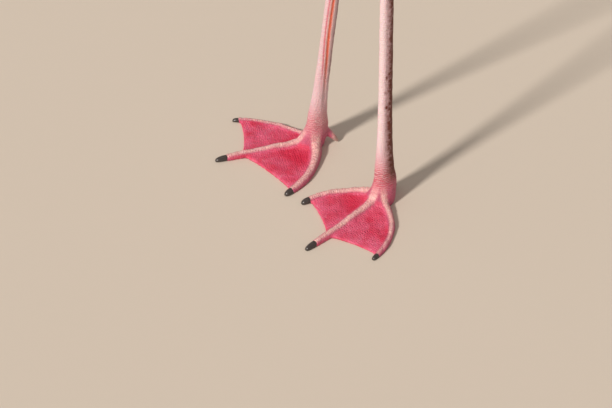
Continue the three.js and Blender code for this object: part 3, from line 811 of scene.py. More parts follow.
def web_shell(middle, other, fold_seed):
    """Web from the middle toe to its neighbour: straight across between the toes at each share of their
    length, drawn in towards the foot at the margin, sagging from the toes' flanks to the floor."""
    u = np.linspace(0.02, 1, 40)[:, None]
    v = np.linspace(0, 1, 30)[None]
    a = middle.at(u * middle.claw_start * WEB_START)
    b = other.at(u * other.claw_start * WEB_END)
    straight = a * (1 - v[..., None]) + b * v[..., None]
    edge = straight[-1]
    chord = (edge[0] + edge[-1]) / 2
    control = chord * (1 - 2 * WEB_NOTCH / np.linalg.norm(chord))
    w = v[0][:, None]
    margin = (1 - w) ** 2 * edge[0] + 2 * w * (1 - w) * control + w * w * edge[-1]
    spots = straight + (margin - edge)[None] * (u ** 2.5)[..., None]
    sides = middle.height(u * middle.claw_start) * (1 - v) ** 3 + other.height(u * other.claw_start) * v ** 3
    slack = (2.3 + 2.6 * (1 - ramp(u, 0.1, 0.5))) * (1 - (1 - v) ** 3 - v ** 3)
    ripple = 0.3 * np.sin(9 * v + 3 * u + fold_seed) * ramp(u, 0.15, 0.5) * np.sin(math.pi * v)
    top = middle.place(spots, np.maximum(0.72 * sides + slack, 2.1) * (1 - 0.2 * ramp(u, 0.9, 1)) + ripple)
    return slab(top, middle.place(spots, np.zeros_like(u * v)))


def hind_toe_path(leg):
    """Root and tip of the hind toe, behind the ankle and inward."""
    x, y = leg_axis(leg, np.array(float(HIND_TOE_ROOT[2])))
    points = [
        (x - leg["side"] * inward, y + back, height) for inward, back, height in (HIND_TOE_ROOT, HIND_TOE_TIP)
    ]
    return np.array(points, float)


def hind_toe_rings(leg, start, end, count=12):
    """Round sections that taper along the hind toe."""
    root, tip = hind_toe_path(leg)
    ahead = (tip - root) / np.linalg.norm(tip - root)
    across = np.cross([1, 0, 0], ahead)
    across /= np.linalg.norm(across)
    aside = np.cross(ahead, across)
    t = np.linspace(start, end, count)[:, None, None]
    angle = (TAU * np.arange(20) / 20)[None, :, None]
    radius = HIND_TOE_RADIUS * (1 - 0.75 * t ** 3)
    return root + (tip - root) * t + radius * (across * np.cos(angle) + aside * np.sin(angle))


def toe_lines(leg):
    """The lines of a foot's three front toes."""
    return {toe: ToeLine(leg, toe) for toe in ("inner", "middle", "outer")}


def own_angle(leg, points):
    """Heading of a point round its leg's axis, in radians: 0 outward, a quarter turn to the back."""
    axis = leg_axis(leg, points[:, 2])
    return np.arctan2(points[:, 1] - axis[:, 1], (points[:, 0] - axis[:, 0]) * leg["side"])


def wrapped(angle, centre):
    """Angle from a centre, wrapped to half a turn either way."""
    return (angle - centre + math.pi) % TAU - math.pi


GROOVE_INNER = ((34, 172), (60, 176), (95, 189), (130, 204), (185, 199), (260, 196), (320, 190), (500, 184))
GROOVE_OUTER = ((34, -18), (90, -16), (160, -16), (260, -8), (330, 0), (500, 0))
LEG_GIRTH_RADIUS = 5.7              # turns an angle round the leg into an arc, mm
GROOVE_DEPTH = {"inner": 0.75, "outer": 0.4}
PLATE_PITCH = 5.2                   # scutes down the front of the leg, mm
HOCK_WRINKLE = 3.6
SPOT_HEADING = -14                  # degrees from outward
SPOTS = ((130, -0.9, 1.0), (115.7, -2.3, 0.5), (100.3, -0.9, 1.0))  # height, place across, darkness
SHADOW_SIDE_HEADING = 136                 # of the painted shade down the shadow side of the right leg
LIT_SIDE_HEADING = -75              # of the painted highlight on the lit front side of the left leg


def groove_gap(angle, z, stations):
    """Arc from a groove's bottom, mm."""
    return wrapped(angle, np.radians(smooth(stations, z))) * LEG_GIRTH_RADIUS


def shape_leg(leg, mesh, skin):
    """Scutes, wrinkles and grooves: each point moves along its normal by a sum of waves and grooves."""
    points = settle(mesh, 3, 0.5)
    normals = read_points(mesh, "normal")
    z = points[:, 2]
    angle = own_angle(leg, points)
    bare = ramp(z, 40, 62) * (1 - ramp(z, 286, 306)) + ramp(z, 345, 365)
    inner, outer = groove_gap(angle, z, GROOVE_INNER), groove_gap(angle, z, GROOVE_OUTER)
    lift = 0.22 * (bump(inner, 2.3, 1) + bump(inner, -2.3, 1)) * bare
    lift -= GROOVE_DEPTH["inner"] * bump(inner, 0, 1.0) * bare
    lift -= GROOVE_DEPTH["outer"] * bump(outer, 0, 1.0) * bare
    front = bump(wrapped(angle, -math.pi / 2), 0, 0.9)
    plates = np.cos(TAU * (z + 1.2 * np.cos(angle)) / PLATE_PITCH)
    lift -= 0.12 * (0.5 + 0.5 * plates) ** 3 * (0.35 + front) * ramp(z, 50, 80)
    lean = 2.2 * np.sin(angle - 0.6) + 1.2 * wander(points, 14, 3)
    wrinkles = 0.5 + 0.5 * np.cos(TAU * (z + lean) / skin.wrinkle)
    lift -= 0.5 * wrinkles ** 1.5 * bump(z, 32, 13) * (0.75 + 0.35 * wander(points, 9, 17))
    hock = 0.5 + 0.5 * np.cos(TAU * (z + 1.5 * wander(points, 12, 5)) / HOCK_WRINKLE)
    lift -= 0.3 * hock ** 2 * bump(z, 318, 15)
    lift += 0.12 * wander(points, 5, 8) * ramp(z, 12, 30)
    for line in toe_lines(leg).values():
        gap, share, _ = line.nearest(points)
        on_top = 1 - ramp(gap - line.half_width(share), -1.4, 0.6)
        on_top = on_top * ramp(z, 2.2, 4) * (1 - ramp(z, 12, 20)) * ramp(normals[:, 2], 0.1, 0.5)
        scutes = 0.5 + 0.5 * np.cos(TAU * share * line.length / skin.scute)
        lift -= 0.3 * scutes ** 2 * on_top
    low = (1 - ramp(z, 6, 12)) * ramp(normals[:, 2], 0.3, 0.8)
    lift += (0.25 * wander(points, 5, 11) + 0.16 * wander(points, 2.6, 12)) * low
    points = points + normals * lift[:, None]
    sole = (points[:, 2] < 1.0) & (normals[:, 2] < -0.3)
    points[sole, 2] = 0
    points[:, 2] = np.maximum(points[:, 2], 0)
    write_points(mesh, points)


def leg_piece(name, leg, skin):
    """One bare leg and foot: its parts are joined, remeshed as one skin, softened and carved."""
    lines = toe_lines(leg)
    heights = np.concatenate([np.arange(0, 60, 1.5), np.arange(60, FINE_TOP + 1, 4.0)])
    shells = [tube(leg_rings(leg, heights)), tube(hind_toe_rings(leg, 0, 1 - HIND_CLAW_SHARE + 0.06))]
    shells += [toe_shell(line, toe) for toe, line in lines.items()]
    shells += [web_shell(lines["middle"], lines[toe], k) for k, toe in enumerate(("inner", "outer"))]
    piece = put_mesh(name, *joined(shells))
    remesh = piece.modifiers.new("one_skin", "REMESH")
    remesh.mode = "VOXEL"
    remesh.voxel_size = skin.voxel * MM
    shape_leg(leg, baked_modifiers(piece), skin)
    return piece


def leg_values(points):
    """Masks on bare legs and feet, by place. `run` is the distance in mm along the limb, toe or web, and
    `creased` how strongly fine lines across that direction show."""
    values = {key: np.zeros(len(points)) for key in LEG_MASKS}
    for name, leg in LEGS.items():
        mine = (points[:, 0] * leg["side"] > 0) & (points[:, 2] < FINE_TOP + 2)
        p = points[mine]
        z, angle = p[:, 2], own_angle(leg, p)
        lines = toe_lines(leg)
        found = {toe: line.nearest(p) for toe, line in lines.items()}
        edge = {toe: found[toe][0] - line.half_width(found[toe][1]) for toe, line in lines.items()}
        clear = np.min(list(edge.values()), axis=0)
        between = (found["outer"][2] < 0.5) & (found["inner"][2] > -0.5) & (found["middle"][1] > 0.06)
        low = 1 - ramp(z, 7, 10)
        web = ramp(clear, -1.7, 0.2) * between * low
        local = on_ground(leg, p)
        away = np.hypot(*local.T)
        nearest = np.argmin(list(edge.values()), axis=0)
        along = np.choose(nearest, [found[toe][1] * line.length for toe, line in lines.items()])
        ahead = lines["middle"].across(np.array(0.4)) @ np.array([[0, 1], [-1, 0]])
        foot = 1 - ramp(z, 8, 30)
        inner = groove_gap(angle, z, GROOVE_INNER)
        reach = ramp(z, 55, 105) * (1 - ramp(z, 270, 300))
        line = bump(inner, 0, 1.5) * reach
        beside_line = bump(inner, 3.3, 0.8) * reach
        # painted highlight: pale lines along the ridges either side of the groove
        ridge_highlights = (bump(inner, 1.9, 0.55) + bump(inner, -2.3, 0.85)) * reach
        # painted shade: a narrow dark brown band down the shadow side of the right leg
        shadow_side_shade = 0.9 * bump(wrapped(angle, math.radians(SHADOW_SIDE_HEADING)), 0, 0.26) * ramp(z, 60, 90)
        hind = ramp(p[:, 1] - leg["foot"][1], 13, 17) * (1 - ramp(z, 14, 20))
        # partly dirt, partly painted shade: brown mottling over the outer and rear side of the leg, darkest
        # in a band behind it; the right leg takes a fifth of it, and all of it fades above the hock
        dirt_and_shade = ramp(angle, -0.95, 0.35) * (1 - ramp(angle, 1.6, 2.3)) * ramp(z, 14, 34)
        dirt_and_shade *= 0.9 + 0.25 * bump(z, 140, 60) + 0.4 * bump(z, 70, 36)
        dirt_and_shade += 0.7 * bump(angle, 0.95, 0.4) * ramp(z, 20, 45)
        fade_above_hock = 1 - 0.85 * ramp(z, 285, 400)
        arc = wrapped(angle, math.radians(SPOT_HEADING)) * LEG_GIRTH_RADIUS
        spots = sum(dark * bump(z, height, 1.5) * bump(arc, across, 0.9) for height, across, dark in SPOTS)
        left = name == "left"
        # painted light: the left leg's front side, which faces the key light, is painted paler
        lit_side = bump(wrapped(angle, math.radians(LIT_SIDE_HEADING)), 0, 0.55) * ramp(z, 45, 75)
        strong = 1.1 * bump(z, 30, 15) + 0.9 * bump(z, 318, 16) + 0.3 * ramp(z, 55, 80)
        found_values = {
            "foot": foot, "web": web,
            "crotch": bump(away, 25, 14) * ramp(clear, -0.5, 2.5) * between * low
            * np.where(found["middle"][2] < 0, 0.9, 0.4),
            # painted highlight: the tops of the toes and the hind toe are painted paler
            "crest": np.maximum((1 - ramp(clear, -3.0, -0.1)) * ramp(z, 1.5, 4.5) * foot, 0.9 * hind),
            "joint": (1.0 if left else 0.75) * bump(z, 24, 19) + 0.9 * bump(z, 320, 22)
            + 0.25 * ramp(z, 350, 420) + 1.1 * beside_line,
            # the pale mask holds only painted highlights: the ridge lines, and the lit side of the left leg
            "pale": np.maximum(0.9 * ridge_highlights, 0.6 * lit_side if left else 0.0),
            # real spots and dirt, with painted shade down the shadow side of each leg
            "stain_and_shade": dirt_and_shade * fade_above_hock + 1.6 * spots if left else (0.2 * dirt_and_shade + shadow_side_shade) * fade_above_hock,
            "stripe": line * (0.4 if left else 1.0),
            "run": np.where(z > 14, z, np.where(web > 0.5, local @ ahead, along)),
            "creased": np.where(z > 14, strong, 0.9 - 0.35 * web),
        }
        for key, value in found_values.items():
            values[key][mine] = value
    return values


# ---- body skin -----------------------------------------------------------------------

COAT_DEPTH = (
    (0, 1.5), (60, 3.5), (110, 6), (540, 6), (650, 4.2), (1096, 3), (1130, 2.2), (1190, 1.5), (1224, 0.4),
)
WING_DEPTH = 4                      # of the coat on the wings
WING_REACH = (20, 474)              # of the wing's flesh along the spine
THIGH_REACH = (500, 662)            # heights of the thigh's flesh
BODY_SIDES = 96
HEAD_ROW = 1.4                      # distance between rings on the head
BODY_ROW = 8.0


def head_place(points):
    """(ahead of the eye, above it) of points, mm, in the head's own direction."""
    y, z, dorsal_y, dorsal_z = (float(v) for v in spine(np.array(float(EYE_STATION))))
    middle = np.array([y + EYE_LIFT * dorsal_y, z + EYE_LIFT * dorsal_z])
    local = points[..., 1:] - middle
    return local @ np.array([-dorsal_z, dorsal_y]), local @ np.array([dorsal_y, dorsal_z])


def eye_centre(side):
    """Middle of the eyeball: inside the side of the head, above the spine."""
    width, height = (float(smooth(k, EYE_STATION)) for k in (HALF_WIDTH, HALF_HEIGHT))
    across = width * math.sqrt(1 - (EYE_LIFT / height) ** 2) - EYE_INSET
    return beside(spine(np.array(float(EYE_STATION))), side * across, float(EYE_LIFT))


def on_shaped(s, angle, lift):
    """The body's surface with the head's relief: brow, sunk lores, cheek and eye sockets."""
    surface = on_body(s, angle, lift)
    ahead, above = head_place(surface)
    flank = np.abs(np.sin(angle)) ** 0.7 * ramp(s, HEAD_START - 5, HEAD_START + 30)
    relief = 1.3 * bump(above, 10, 4.5) * bump(ahead, 0, 13)
    relief -= 1.6 * bump(above, -2, 8) * bump(ahead, 19, 10)
    relief += 0.9 * bump(above, -14, 8) * bump(ahead, -8, 16)
    relief -= 3.4 * (1 - ramp(np.hypot(ahead, above), 4.2, 6.4))
    out = surface - beside(spine(s), 0.0, 0.0)
    out /= np.linalg.norm(out, axis=-1, keepdims=True)
    return surface + out * (relief * flank)[..., None]


def body_skin_rings():
    """Rings of the body's surface less the coat's depth, closing in on the bill at the front."""
    rows = np.concatenate([
        np.arange(3, HEAD_START, BODY_ROW), np.arange(HEAD_START, BILL_START - 2, HEAD_ROW),
        BILL_START - np.array([1.4, 0.6, 0.0, -0.5]),
    ])[:, None]
    angle = (TAU * np.arange(BODY_SIDES) / BODY_SIDES)[None]
    depth = smooth(COAT_DEPTH, rows)
    surface = on_shaped(rows, angle, -depth)
    flush = 0.75 * depth * face_mask(surface) * ramp(head_place(surface)[0], 7, 13)
    return on_shaped(rows, angle, flush - depth - 3.2 * ramp(rows, BILL_START - 4, BILL_START + 1) ** 2)


LID_PROFILE = (                     # radius from the eye's axis, height above its middle
    (4.95, 5.25), (5.0, 5.75), (5.45, 6.1), (6.2, 5.95), (7.1, 5.3), (8.1, 4.3), (9.0, 3.0),
    (8.4, 1.6), (6.8, 2.2), (5.6, 4.2),
)
LID_ALMOND = 0.9                    # height of the eye's opening over its length
LID_CORNER = 0.16                   # how far its corners are drawn out, as a share of the radius


def eye_frame(side):
    """The eye's axis, and two directions across it: ahead and up."""
    out = np.array([side, -0.16, 0.03])
    out /= np.linalg.norm(out)
    up = np.array([0, 0, 1]) - out * out[2]
    up /= np.linalg.norm(up)
    return out, np.cross(up, out) * side, up


def revolved(side, profile, turns, squash=1.0, pointed=0.0):
    """A profile of (radius, height) turned about the eye's axis, squashed in height and drawn out ahead and
    behind by a share of the radius."""
    out, ahead, up = eye_frame(side)
    angle = (TAU * np.arange(turns) / turns)[None, :, None]
    radius, height = (np.array(profile, float)[:, k][:, None, None] for k in (0, 1))
    reach = 1 + pointed * np.cos(angle) ** 6
    return eye_centre(side) + out * height + radius * (
        ahead * np.cos(angle) * reach + up * np.sin(angle) * squash
    )


def ring_shell(rings):
    """Closed ring: a grid that wraps both ways."""
    rows, sides, _ = rings.shape
    index = np.arange(rows * sides).reshape(rows, sides)
    down, across = np.roll(index, -1, axis=0), np.roll(index, -1, axis=1)
    both = np.roll(down, -1, axis=1)
    return rings.reshape(-1, 3), np.stack([index, across, both, down], -1).reshape(-1, 4), NO_TRIS


def wing_skin_rings(side):
    """Crescent sections of the wing less its coat, reaching into the body inside."""
    rows = np.arange(WING_REACH[0] + 2, WING_REACH[1], 10.0)[:, None]
    share = np.linspace(0.05, 0.95, 24)[None]
    outside = on_wing(side, rows, share, -WING_DEPTH)
    top, low = np.radians(smooth(WING_TOP, rows)), np.radians(smooth(WING_LOW, rows))
    back = np.linspace(0.9, 0.1, 12)[None]
    inside = on_carrier(side, rows, top + (low - top) * back, -WING_INSET - WING_DEPTH)
    return np.concatenate([outside, inside], 1)


def united(first, *others):
    """Boolean union of closed pieces into the first one's mesh."""
    for other in others:
        cut = first.modifiers.new("union", "BOOLEAN")
        cut.operation = "UNION"
        cut.solver = "MANIFOLD"
        cut.object = other
    mesh = baked_modifiers(first)
    for other in others:
        bpy.data.objects.remove(other)
    return mesh


def body_place(points):
    """Nearest distance along the spine, and the angle from the back, of points of the body."""
    knots = np.arange(0, BILL_START + 1, 3.0)
    y, z, dorsal_y, dorsal_z = spine(knots)
    nearest = np.concatenate([
        ((part[:, 1:2] - y) ** 2 + (part[:, 2:] - z) ** 2).argmin(1)
        for part in np.array_split(points, max(1, len(points) // 4000))
    ])
    up = (points[:, 1] - y[nearest]) * dorsal_y[nearest] + (points[:, 2] - z[nearest]) * dorsal_z[nearest]
    s = knots[nearest]
    return s, np.arctan2(np.abs(points[:, 0]) / smooth(HALF_WIDTH, s), up / smooth(HALF_HEIGHT, s))


def face_mask(points):
    """1 on the bare skin before and round the eye, 0 under feathers."""
    ahead, above = head_place(points)
    ring = 1 - ramp(np.hypot(ahead, above), 8.5, 10)
    spread = 5.5 + 0.27 * np.maximum(ahead, 0)
    lores = ramp(ahead, -2, 4) * (1 - ramp(np.abs(above + 0.13 * ahead), spread, spread + 1.5))
    return np.maximum(ring, lores) * ramp(points[..., 2], 1180, 1190)


def blush_at(s, angle):
    """Pink of the pale plumage: strongest on head, upper neck, breast, rump and tail; palest on the belly."""
    neck = 0.55 * ramp(s, 560, 980) + 0.2 * ramp(s, 1060, 1150)
    breast = 0.3 * bump(s, 470, 90) * ramp(angle, 1.2, 2.4)
    rump = 0.45 * (1 - ramp(s, 20, 150))
    back = 0.2 * (1 - ramp(angle, 0.2, 1.0)) * ramp(s, 200, 300) * (1 - ramp(s, 450, 560))
    return np.clip(neck + breast + rump + back + 0.08, 0, 1)


def skin_values(points):
    """All the skin's masks, by place."""
    values = leg_values(points)
    high = points[:, 2] > HEM_HEIGHT - 3
    s, angle = body_place(points[high])
    face = np.zeros(len(points))
    face[high] = face_mask(points[high]) * (s > HEAD_START)
    wing = np.zeros(len(points))
    inside = (angle > np.radians(smooth(WING_TOP, s))) & (angle < np.radians(smooth(WING_LOW, s)))
    wing[high] = inside * (s < WING_REACH[1]) * (s > WING_REACH[0]) * (points[high][:, 2] > 560)
    blush = np.zeros(len(points))
    blush[high] = blush_at(s, angle)
    return {**values, "face": face, "wing": wing, "blush": blush, "bare": np.maximum(~high, face)}


FLESH = ("head", "neck_upper", "neck_middle", "neck_lower", "trunk", "tail")
LIMBS = ("wing", "thigh", "shin", "tarsus", "foot")


class FLAMINGO_OT_skin(bpy.types.Operator):
    """One closed skin over head, neck, trunk, wings, legs and webbed feet"""

    bl_idname = "flamingo.skin"
    bl_label = "Skin"

    def execute(self, context):
        skin, coat = context.scene.flamingo_skin, context.scene.flamingo_coat
        body = put_mesh("flamingo_skin", *tube(body_skin_rings()))
        parts = []
        for name, leg in LEGS.items():
            parts.append(leg_piece(f"bare_leg_{name}", leg, skin))
            thigh = leg_rings(leg, np.arange(*THIGH_REACH, 8.0))
            parts.append(put_mesh(f"thigh_core_{name}", *tube(thigh)))
            parts.append(put_mesh(f"wing_core_{name}", *tube(wing_skin_rings(leg["side"]))))
            lids = ring_shell(revolved(leg["side"], LID_PROFILE, 56, LID_ALMOND, LID_CORNER))
            parts.append(put_mesh(f"lids_{name}", *lids))
        mesh = united(body, *parts)
        for key, value in skin_values(read_points(mesh)).items():
            set_value(mesh, key, value)
        limbs = [f"{limb}_{name}" for limb in LIMBS for name in LEGS]
        hand_over(body, bare_skin(skin, coat), [*FLESH, *limbs])
        return {"FINISHED"}


class FLAMINGO_OT_claws(bpy.types.Operator):
    """Blunt black claws: the end of each toe, a loft that tapers along it"""

    bl_idname = "flamingo.claws"
    bl_label = "Claws"

    def execute(self, context):
        horn = context.scene.flamingo_horn
        dark = claw_keratin("claw_keratin", horn.claw, horn.claw_worn)
        pale = claw_keratin("hind_claw_keratin", horn.claw_hind, horn.claw_worn)
        for name, leg in LEGS.items():
            shells = {f"claw_{name}_hind": tube(hind_toe_rings(leg, 1 - HIND_CLAW_SHARE, 0.99, 10))}
            for toe, line in toe_lines(leg).items():
                shells[f"claw_{name}_{toe}"] = claw_shell(line)
            for node, shell in shells.items():
                claw = put_mesh(f"{node}_horn", *shell)
                hand_over(claw, pale if node.endswith("hind") else dark, [node])
        return {"FINISHED"}


# ---- bill and eyes -------------------------------------------------------------------

BILL_GAP = 0.5                      # parting between the two halves of the bill
BILL_ROOT = -4.0                    # where the bill starts, inside the head
NOSTRIL = (17, 43)                  # the slit's reach along the bill
BILL_PLATE = 2.2                    # distance between the fine plates along the gape
EYE_SIDES = 48


def bill_half(edge, half_width, way):
    """One half of the bill, way +1 above and -1 below: across = width cos a and
    up = gape + (edge - gape) sin(a)^0.8, with a nostril slit, grooves beside the culmen and fine plates
    along the gape. Returns tube and values."""
    along = np.arange(BILL_ROOT, BILL_LENGTH + 0.2, 0.5)[:, None]
    arch, floor = np.linspace(0, math.pi, 41)[None], np.linspace(-0.93, 0.93, 11)[None]
    width, gape = smooth(half_width, along), smooth(BILL_GAPE, along)
    reach = way * smooth(edge, along) - gape
    slit = ramp(along, NOSTRIL[0], NOSTRIL[0] + 5) * (1 - ramp(along, NOSTRIL[1] - 8, NOSTRIL[1]))
    side = np.minimum(arch, math.pi - arch)
    nostril = bump(side - 0.62 - 0.004 * (along - 30), 0, 0.075) * slit * (way > 0)
    plates = 0.3 * np.cos(TAU * along / BILL_PLATE) * bump(side, 0, 0.1) * ramp(along, 6, 14)
    lift = -1.0 * nostril - 0.35 * bump(side, 1.12, 0.1) * ramp(along, 4, 16) * (way > 0) + plates
    lift += 0.5 * bump(side, 0.08, 0.1) * ramp(along, 2, 20) * (way < 0)
    lift *= 1 - ramp(along, BILL_LENGTH - 14, BILL_LENGTH)
    up = gape + way * BILL_GAP / 2 + (reach + way * lift * np.sin(arch)) * np.sin(arch) ** 0.8
    over = beside(bill_path(along), (width + lift) * np.cos(arch), up)
    hollow = gape + way * BILL_GAP / 2 + way * 0.8 * (1 - floor ** 2) * ramp(along, 5, 25)
    under = beside(bill_path(along), width * floor, hollow)
    rings = np.concatenate([over, under], 1)
    shell = tube(rings)
    dark = np.concatenate([nostril, 0 * floor + 0 * along], 1).ravel()
    distance = np.broadcast_to(along, rings.shape[:2]).ravel()
    ends = [BILL_ROOT, BILL_LENGTH]
    return shell, {"along": np.concatenate([distance, ends]), "nostril": np.concatenate([dark, [0, 0]])}


class FLAMINGO_OT_bill(bpy.types.Operator):
    """Bent bill in two halves: a shallow upper one with nostril slits over a deep lower one"""

    bl_idname = "flamingo.bill"
    bl_label = "Bill"

    def execute(self, context):
        material = bill_keratin(context.scene.flamingo_horn)
        for node, edge, width, way in (
            ("bill_upper", BILL_CULMEN, UPPER_HALF_WIDTH, 1), ("bill_lower", BILL_KEEL, LOWER_HALF_WIDTH, -1),
        ):
            shell, values = bill_half(edge, width, way)
            hand_over(put_mesh(f"{node}_horn", *shell, **values), material, [node])
        return {"FINISHED"}


class FLAMINGO_OT_eyes(bpy.types.Operator):
    """Eyeballs: half circles turned about the eye's axis, with a slight swelling over the pupil"""

    bl_idname = "flamingo.eyes"
    bl_label = "Eyes"

    def execute(self, context):
        material = eye_surface(context.scene.flamingo_horn)
        turn = np.linspace(0.02, math.pi - 0.02, 44)
        radius = EYE_RADIUS * np.sin(turn)
        height = EYE_RADIUS * np.cos(turn)
        height += 0.5 * np.exp(-((radius / 3) ** 2)) * (height > 0)
        seen = np.where(height > 0, radius, 9.0)
        for name, leg in LEGS.items():
            rings = revolved(leg["side"], np.stack([radius, height], -1), EYE_SIDES)
            value = np.concatenate([np.repeat(seen, EYE_SIDES), [0, 9]])
            eye = put_mesh(f"eyeball_{name}", *tube(rings), radius=value)
            hand_over(eye, material, [f"eye_{name}"])
        return {"FINISHED"}


# ---- feathers ------------------------------------------------------------------------

SMALL = ((0, 0.35), (0.66, 1), (1, 0.12))                           # share of length, share of width
FINE = ((0, 0.35), (0.6, 1), (0.87, 0.74), (1, 0.16))
CONTOUR = ((0, 0.25), (0.4, 0.85), (0.72, 1.0), (0.9, 0.72), (1, 0.16))
BLADE = ((0, 0.3), (0.12, 0.6), (0.35, 0.92), (0.6, 1), (0.8, 0.9), (0.92, 0.66), (0.98, 0.36), (1, 0.1))
UV_PATCH = 0.003                    # a feather's patch on the OFBake map
UV_MARGIN = 0.004                   # free edge of the map
ROW_SHARE = 0.29                    # distance between rows of body feathers, of their length
SIDE_SHARE = 0.52                   # distance between neighbours in a row, of their width
ROOT_JITTER = 0.22                  # random shift of a root, as a share of the distances between roots
LID_CLEARANCE = 9.4                 # no feather comes nearer to the eye's axis, mm
ROOT_SINK = 0.42                    # how far a root lies below the outline, as a share of the coat's depth
EDGE_DROOP = 0.05                   # of half the width
CREST_RISE = 0.03


def staggered(start, end, pitch, row, rng):
    """Root places (a, b) in staggered rows from a = start down to end, pitch(a) mm apart. row(a) gives
    the first and last b and the number of feathers. Each root is then shifted a little at random."""
    a, b, at, odd = [], [], start, 0
    while at > end:
        low, high, count = row(at)
        count = max(int(count), 1)
        shift = rng.uniform(-ROOT_JITTER, ROOT_JITTER, (2, count))
        a.append(at + shift[0] * pitch(at))
        b.append(low + (high - low) * (np.arange(count) + 0.25 + 0.5 * odd + shift[1]) / count)
        at -= pitch(at)
        odd = 1 - odd
    return np.concatenate(a), np.concatenate(b)


def per_mm(place, a, b):
    """How much b changes over 1 mm across the surface."""
    step = 0.004
    return 2 * step / np.linalg.norm(place(a, b + step, 0.0) - place(a, b - step, 0.0), axis=-1)


class Vanes:
    """Feathers as thin closed vanes that lie on a surface and point to lower a. Each has four points at every
    station of its shape: left edge, crest, right edge, underside. The lift off the surface is
    rise t - ROOT_SINK depth (1 - t)^3, so that a root is near the skin and a tip lies on the outline."""

    def __init__(
        self, place, a, b, length, width, shape, depth, rng, rise=0.0, turn=0.0, thick=0.3, level=0.0,
    ):
        self.t, share = np.array(shape, float).T
        t, share = self.t[None, :, None], share[None, :, None]
        a, b, length, width, depth, rise, turn, level = (
            np.broadcast_to(value, a.shape)[:, None, None]
            for value in (a, b, length, width, depth, rise, turn, level)
        )
        length = length * rng.uniform(0.9, 1.08, length.shape)
        turn = turn + rng.normal(0, 0.07, turn.shape)
        side = np.array([-1, 0, 1, 0])[None, None]
        ridge = np.array([0, 1, 0, -1])[None, None]
        half = 0.5 * width * share
        across = per_mm(place, a, b)
        lift = level + rise * t - ROOT_SINK * depth * (1 - t) ** 3
        lift = lift + rng.uniform(-0.02, 0.02, a.shape) * width * t
        lift = lift + ridge * thick / 2 + half * (CREST_RISE * (1 - side ** 2) - EDGE_DROOP * side ** 2)
        self.rings = place(
            a - length * t * np.cos(turn) + side * half * np.sin(turn),
            b + (length * t * np.sin(turn) + side * half * np.cos(turn)) * across, lift,
        )
        self.root = np.stack([a[:, 0, 0], b[:, 0, 0]], -1)
        shown = np.broadcast_to(t, self.rings.shape[:3])
        tint = np.broadcast_to(rng.uniform(-0.07, 0.07, a.shape), shown.shape)
        self.values = {"tip": shown, "tint": tint, "barb": length * t + 0.8 * np.abs(side) * half}

    def keep(self, chosen):
        """Leaves only the chosen feathers."""
        self.rings, self.root = self.rings[chosen], self.root[chosen]
        self.values = {key: value[chosen] for key, value in self.values.items()}
        return self

    def blush(self, value):
        """Sets the depth of colour, one value for each feather."""
        self.values["blush"] = np.broadcast_to(value[:, None, None], self.rings.shape[:3])
        return self


def vane_faces(t):
    """Faces of one vane as (station, side) pairs, and their corners on its patch of the OFBake map."""
    faces, corners = [], []
    for k in range(len(t) - 1):
        for j in range(4):
            left, right = j / 4, (j + 1) / 4
            faces.append([(k, j), (k, (j + 1) % 4), (k + 1, (j + 1) % 4), (k + 1, j)])
            corners.append([(left, t[k]), (right, t[k]), (right, t[k + 1]), (left, t[k + 1])])
    last = len(t) - 1
    faces += [[(0, 3), (0, 2), (0, 1), (0, 0)], [(last, 0), (last, 1), (last, 2), (last, 3)]]
    corners += [[(x, v + y * 0.1) for x, y in ((0, 0), (1, 0), (1, 1), (0, 1))] for v in (-0.12, 1.02)]
    faces = np.array(faces)
    return faces[..., 0] * 4 + faces[..., 1], np.array(corners)


def coat_piece(name, material, slot, nodes, *layers):
    """One mesh of all the layers' feathers, with its OFBake map: a patch for each feather at its root."""
    points, quads, places, count = [], [], [], 0
    for vanes in layers:
        faces, corners = vane_faces(vanes.t)
        total, stations = vanes.rings.shape[:2]
        flat = vanes.rings.reshape(-1, 3)
        chosen = (faces[None] + (np.arange(total) * stations * 4)[:, None, None]).reshape(-1, 4)
        turned, _ = outward(flat, chosen, NO_TRIS)
        if turned is not chosen:
            corners = corners[:, ::-1]
        points.append(flat)
        quads.append(turned + count)
        places.append((vanes.root, corners))
        count += len(flat)
    values = {key: np.concatenate([vanes.values[key].ravel() for vanes in layers]) for key in FEATHER_VALUES}
    piece = put_mesh(name, np.concatenate(points), np.concatenate(quads), **values)
    roots = np.concatenate([root for root, _ in places])
    low, high = roots.min(0), roots.max(0)
    maps = []
    for root, corners in places:
        spot = UV_MARGIN + (1 - 2 * UV_MARGIN) * (root - low) / (high - low)
        maps.append((spot[:, None, None] + UV_PATCH * (corners - 0.5) * 0.8).reshape(-1, 2))
    ends = np.zeros(len(piece.data.edges) * 2, np.int32)
    piece.data.edges.foreach_get("vertices", ends)
    a, b = (ends % 4).reshape(-1, 2).T
    sharp = piece.data.attributes.new("sharp_edge", "BOOLEAN", "EDGE")
    sharp.data.foreach_set("value", (a == b) & (a % 2 == 0))
    layer = piece.data.uv_layers.new(name="OFBake")
    layer.uv.foreach_set("vector", np.clip(np.concatenate(maps), 0, 1).astype(np.float32).ravel())
    hand_over(piece, material, nodes)


COVER = (                           # spine distance, length and width of a body feather
    (20, 44, 12), (60, 46, 13), (110, 42, 14), (200, 36, 14), (400, 32, 13), (540, 25, 10), (650, 17, 6.4),
    (800, 14, 5.2), (1000, 12.5, 4.8), (1090, 9.5, 3.8), (1150, 7, 3.1), (1200, 5.4, 2.7), (1224, 4.4, 2.3),
)


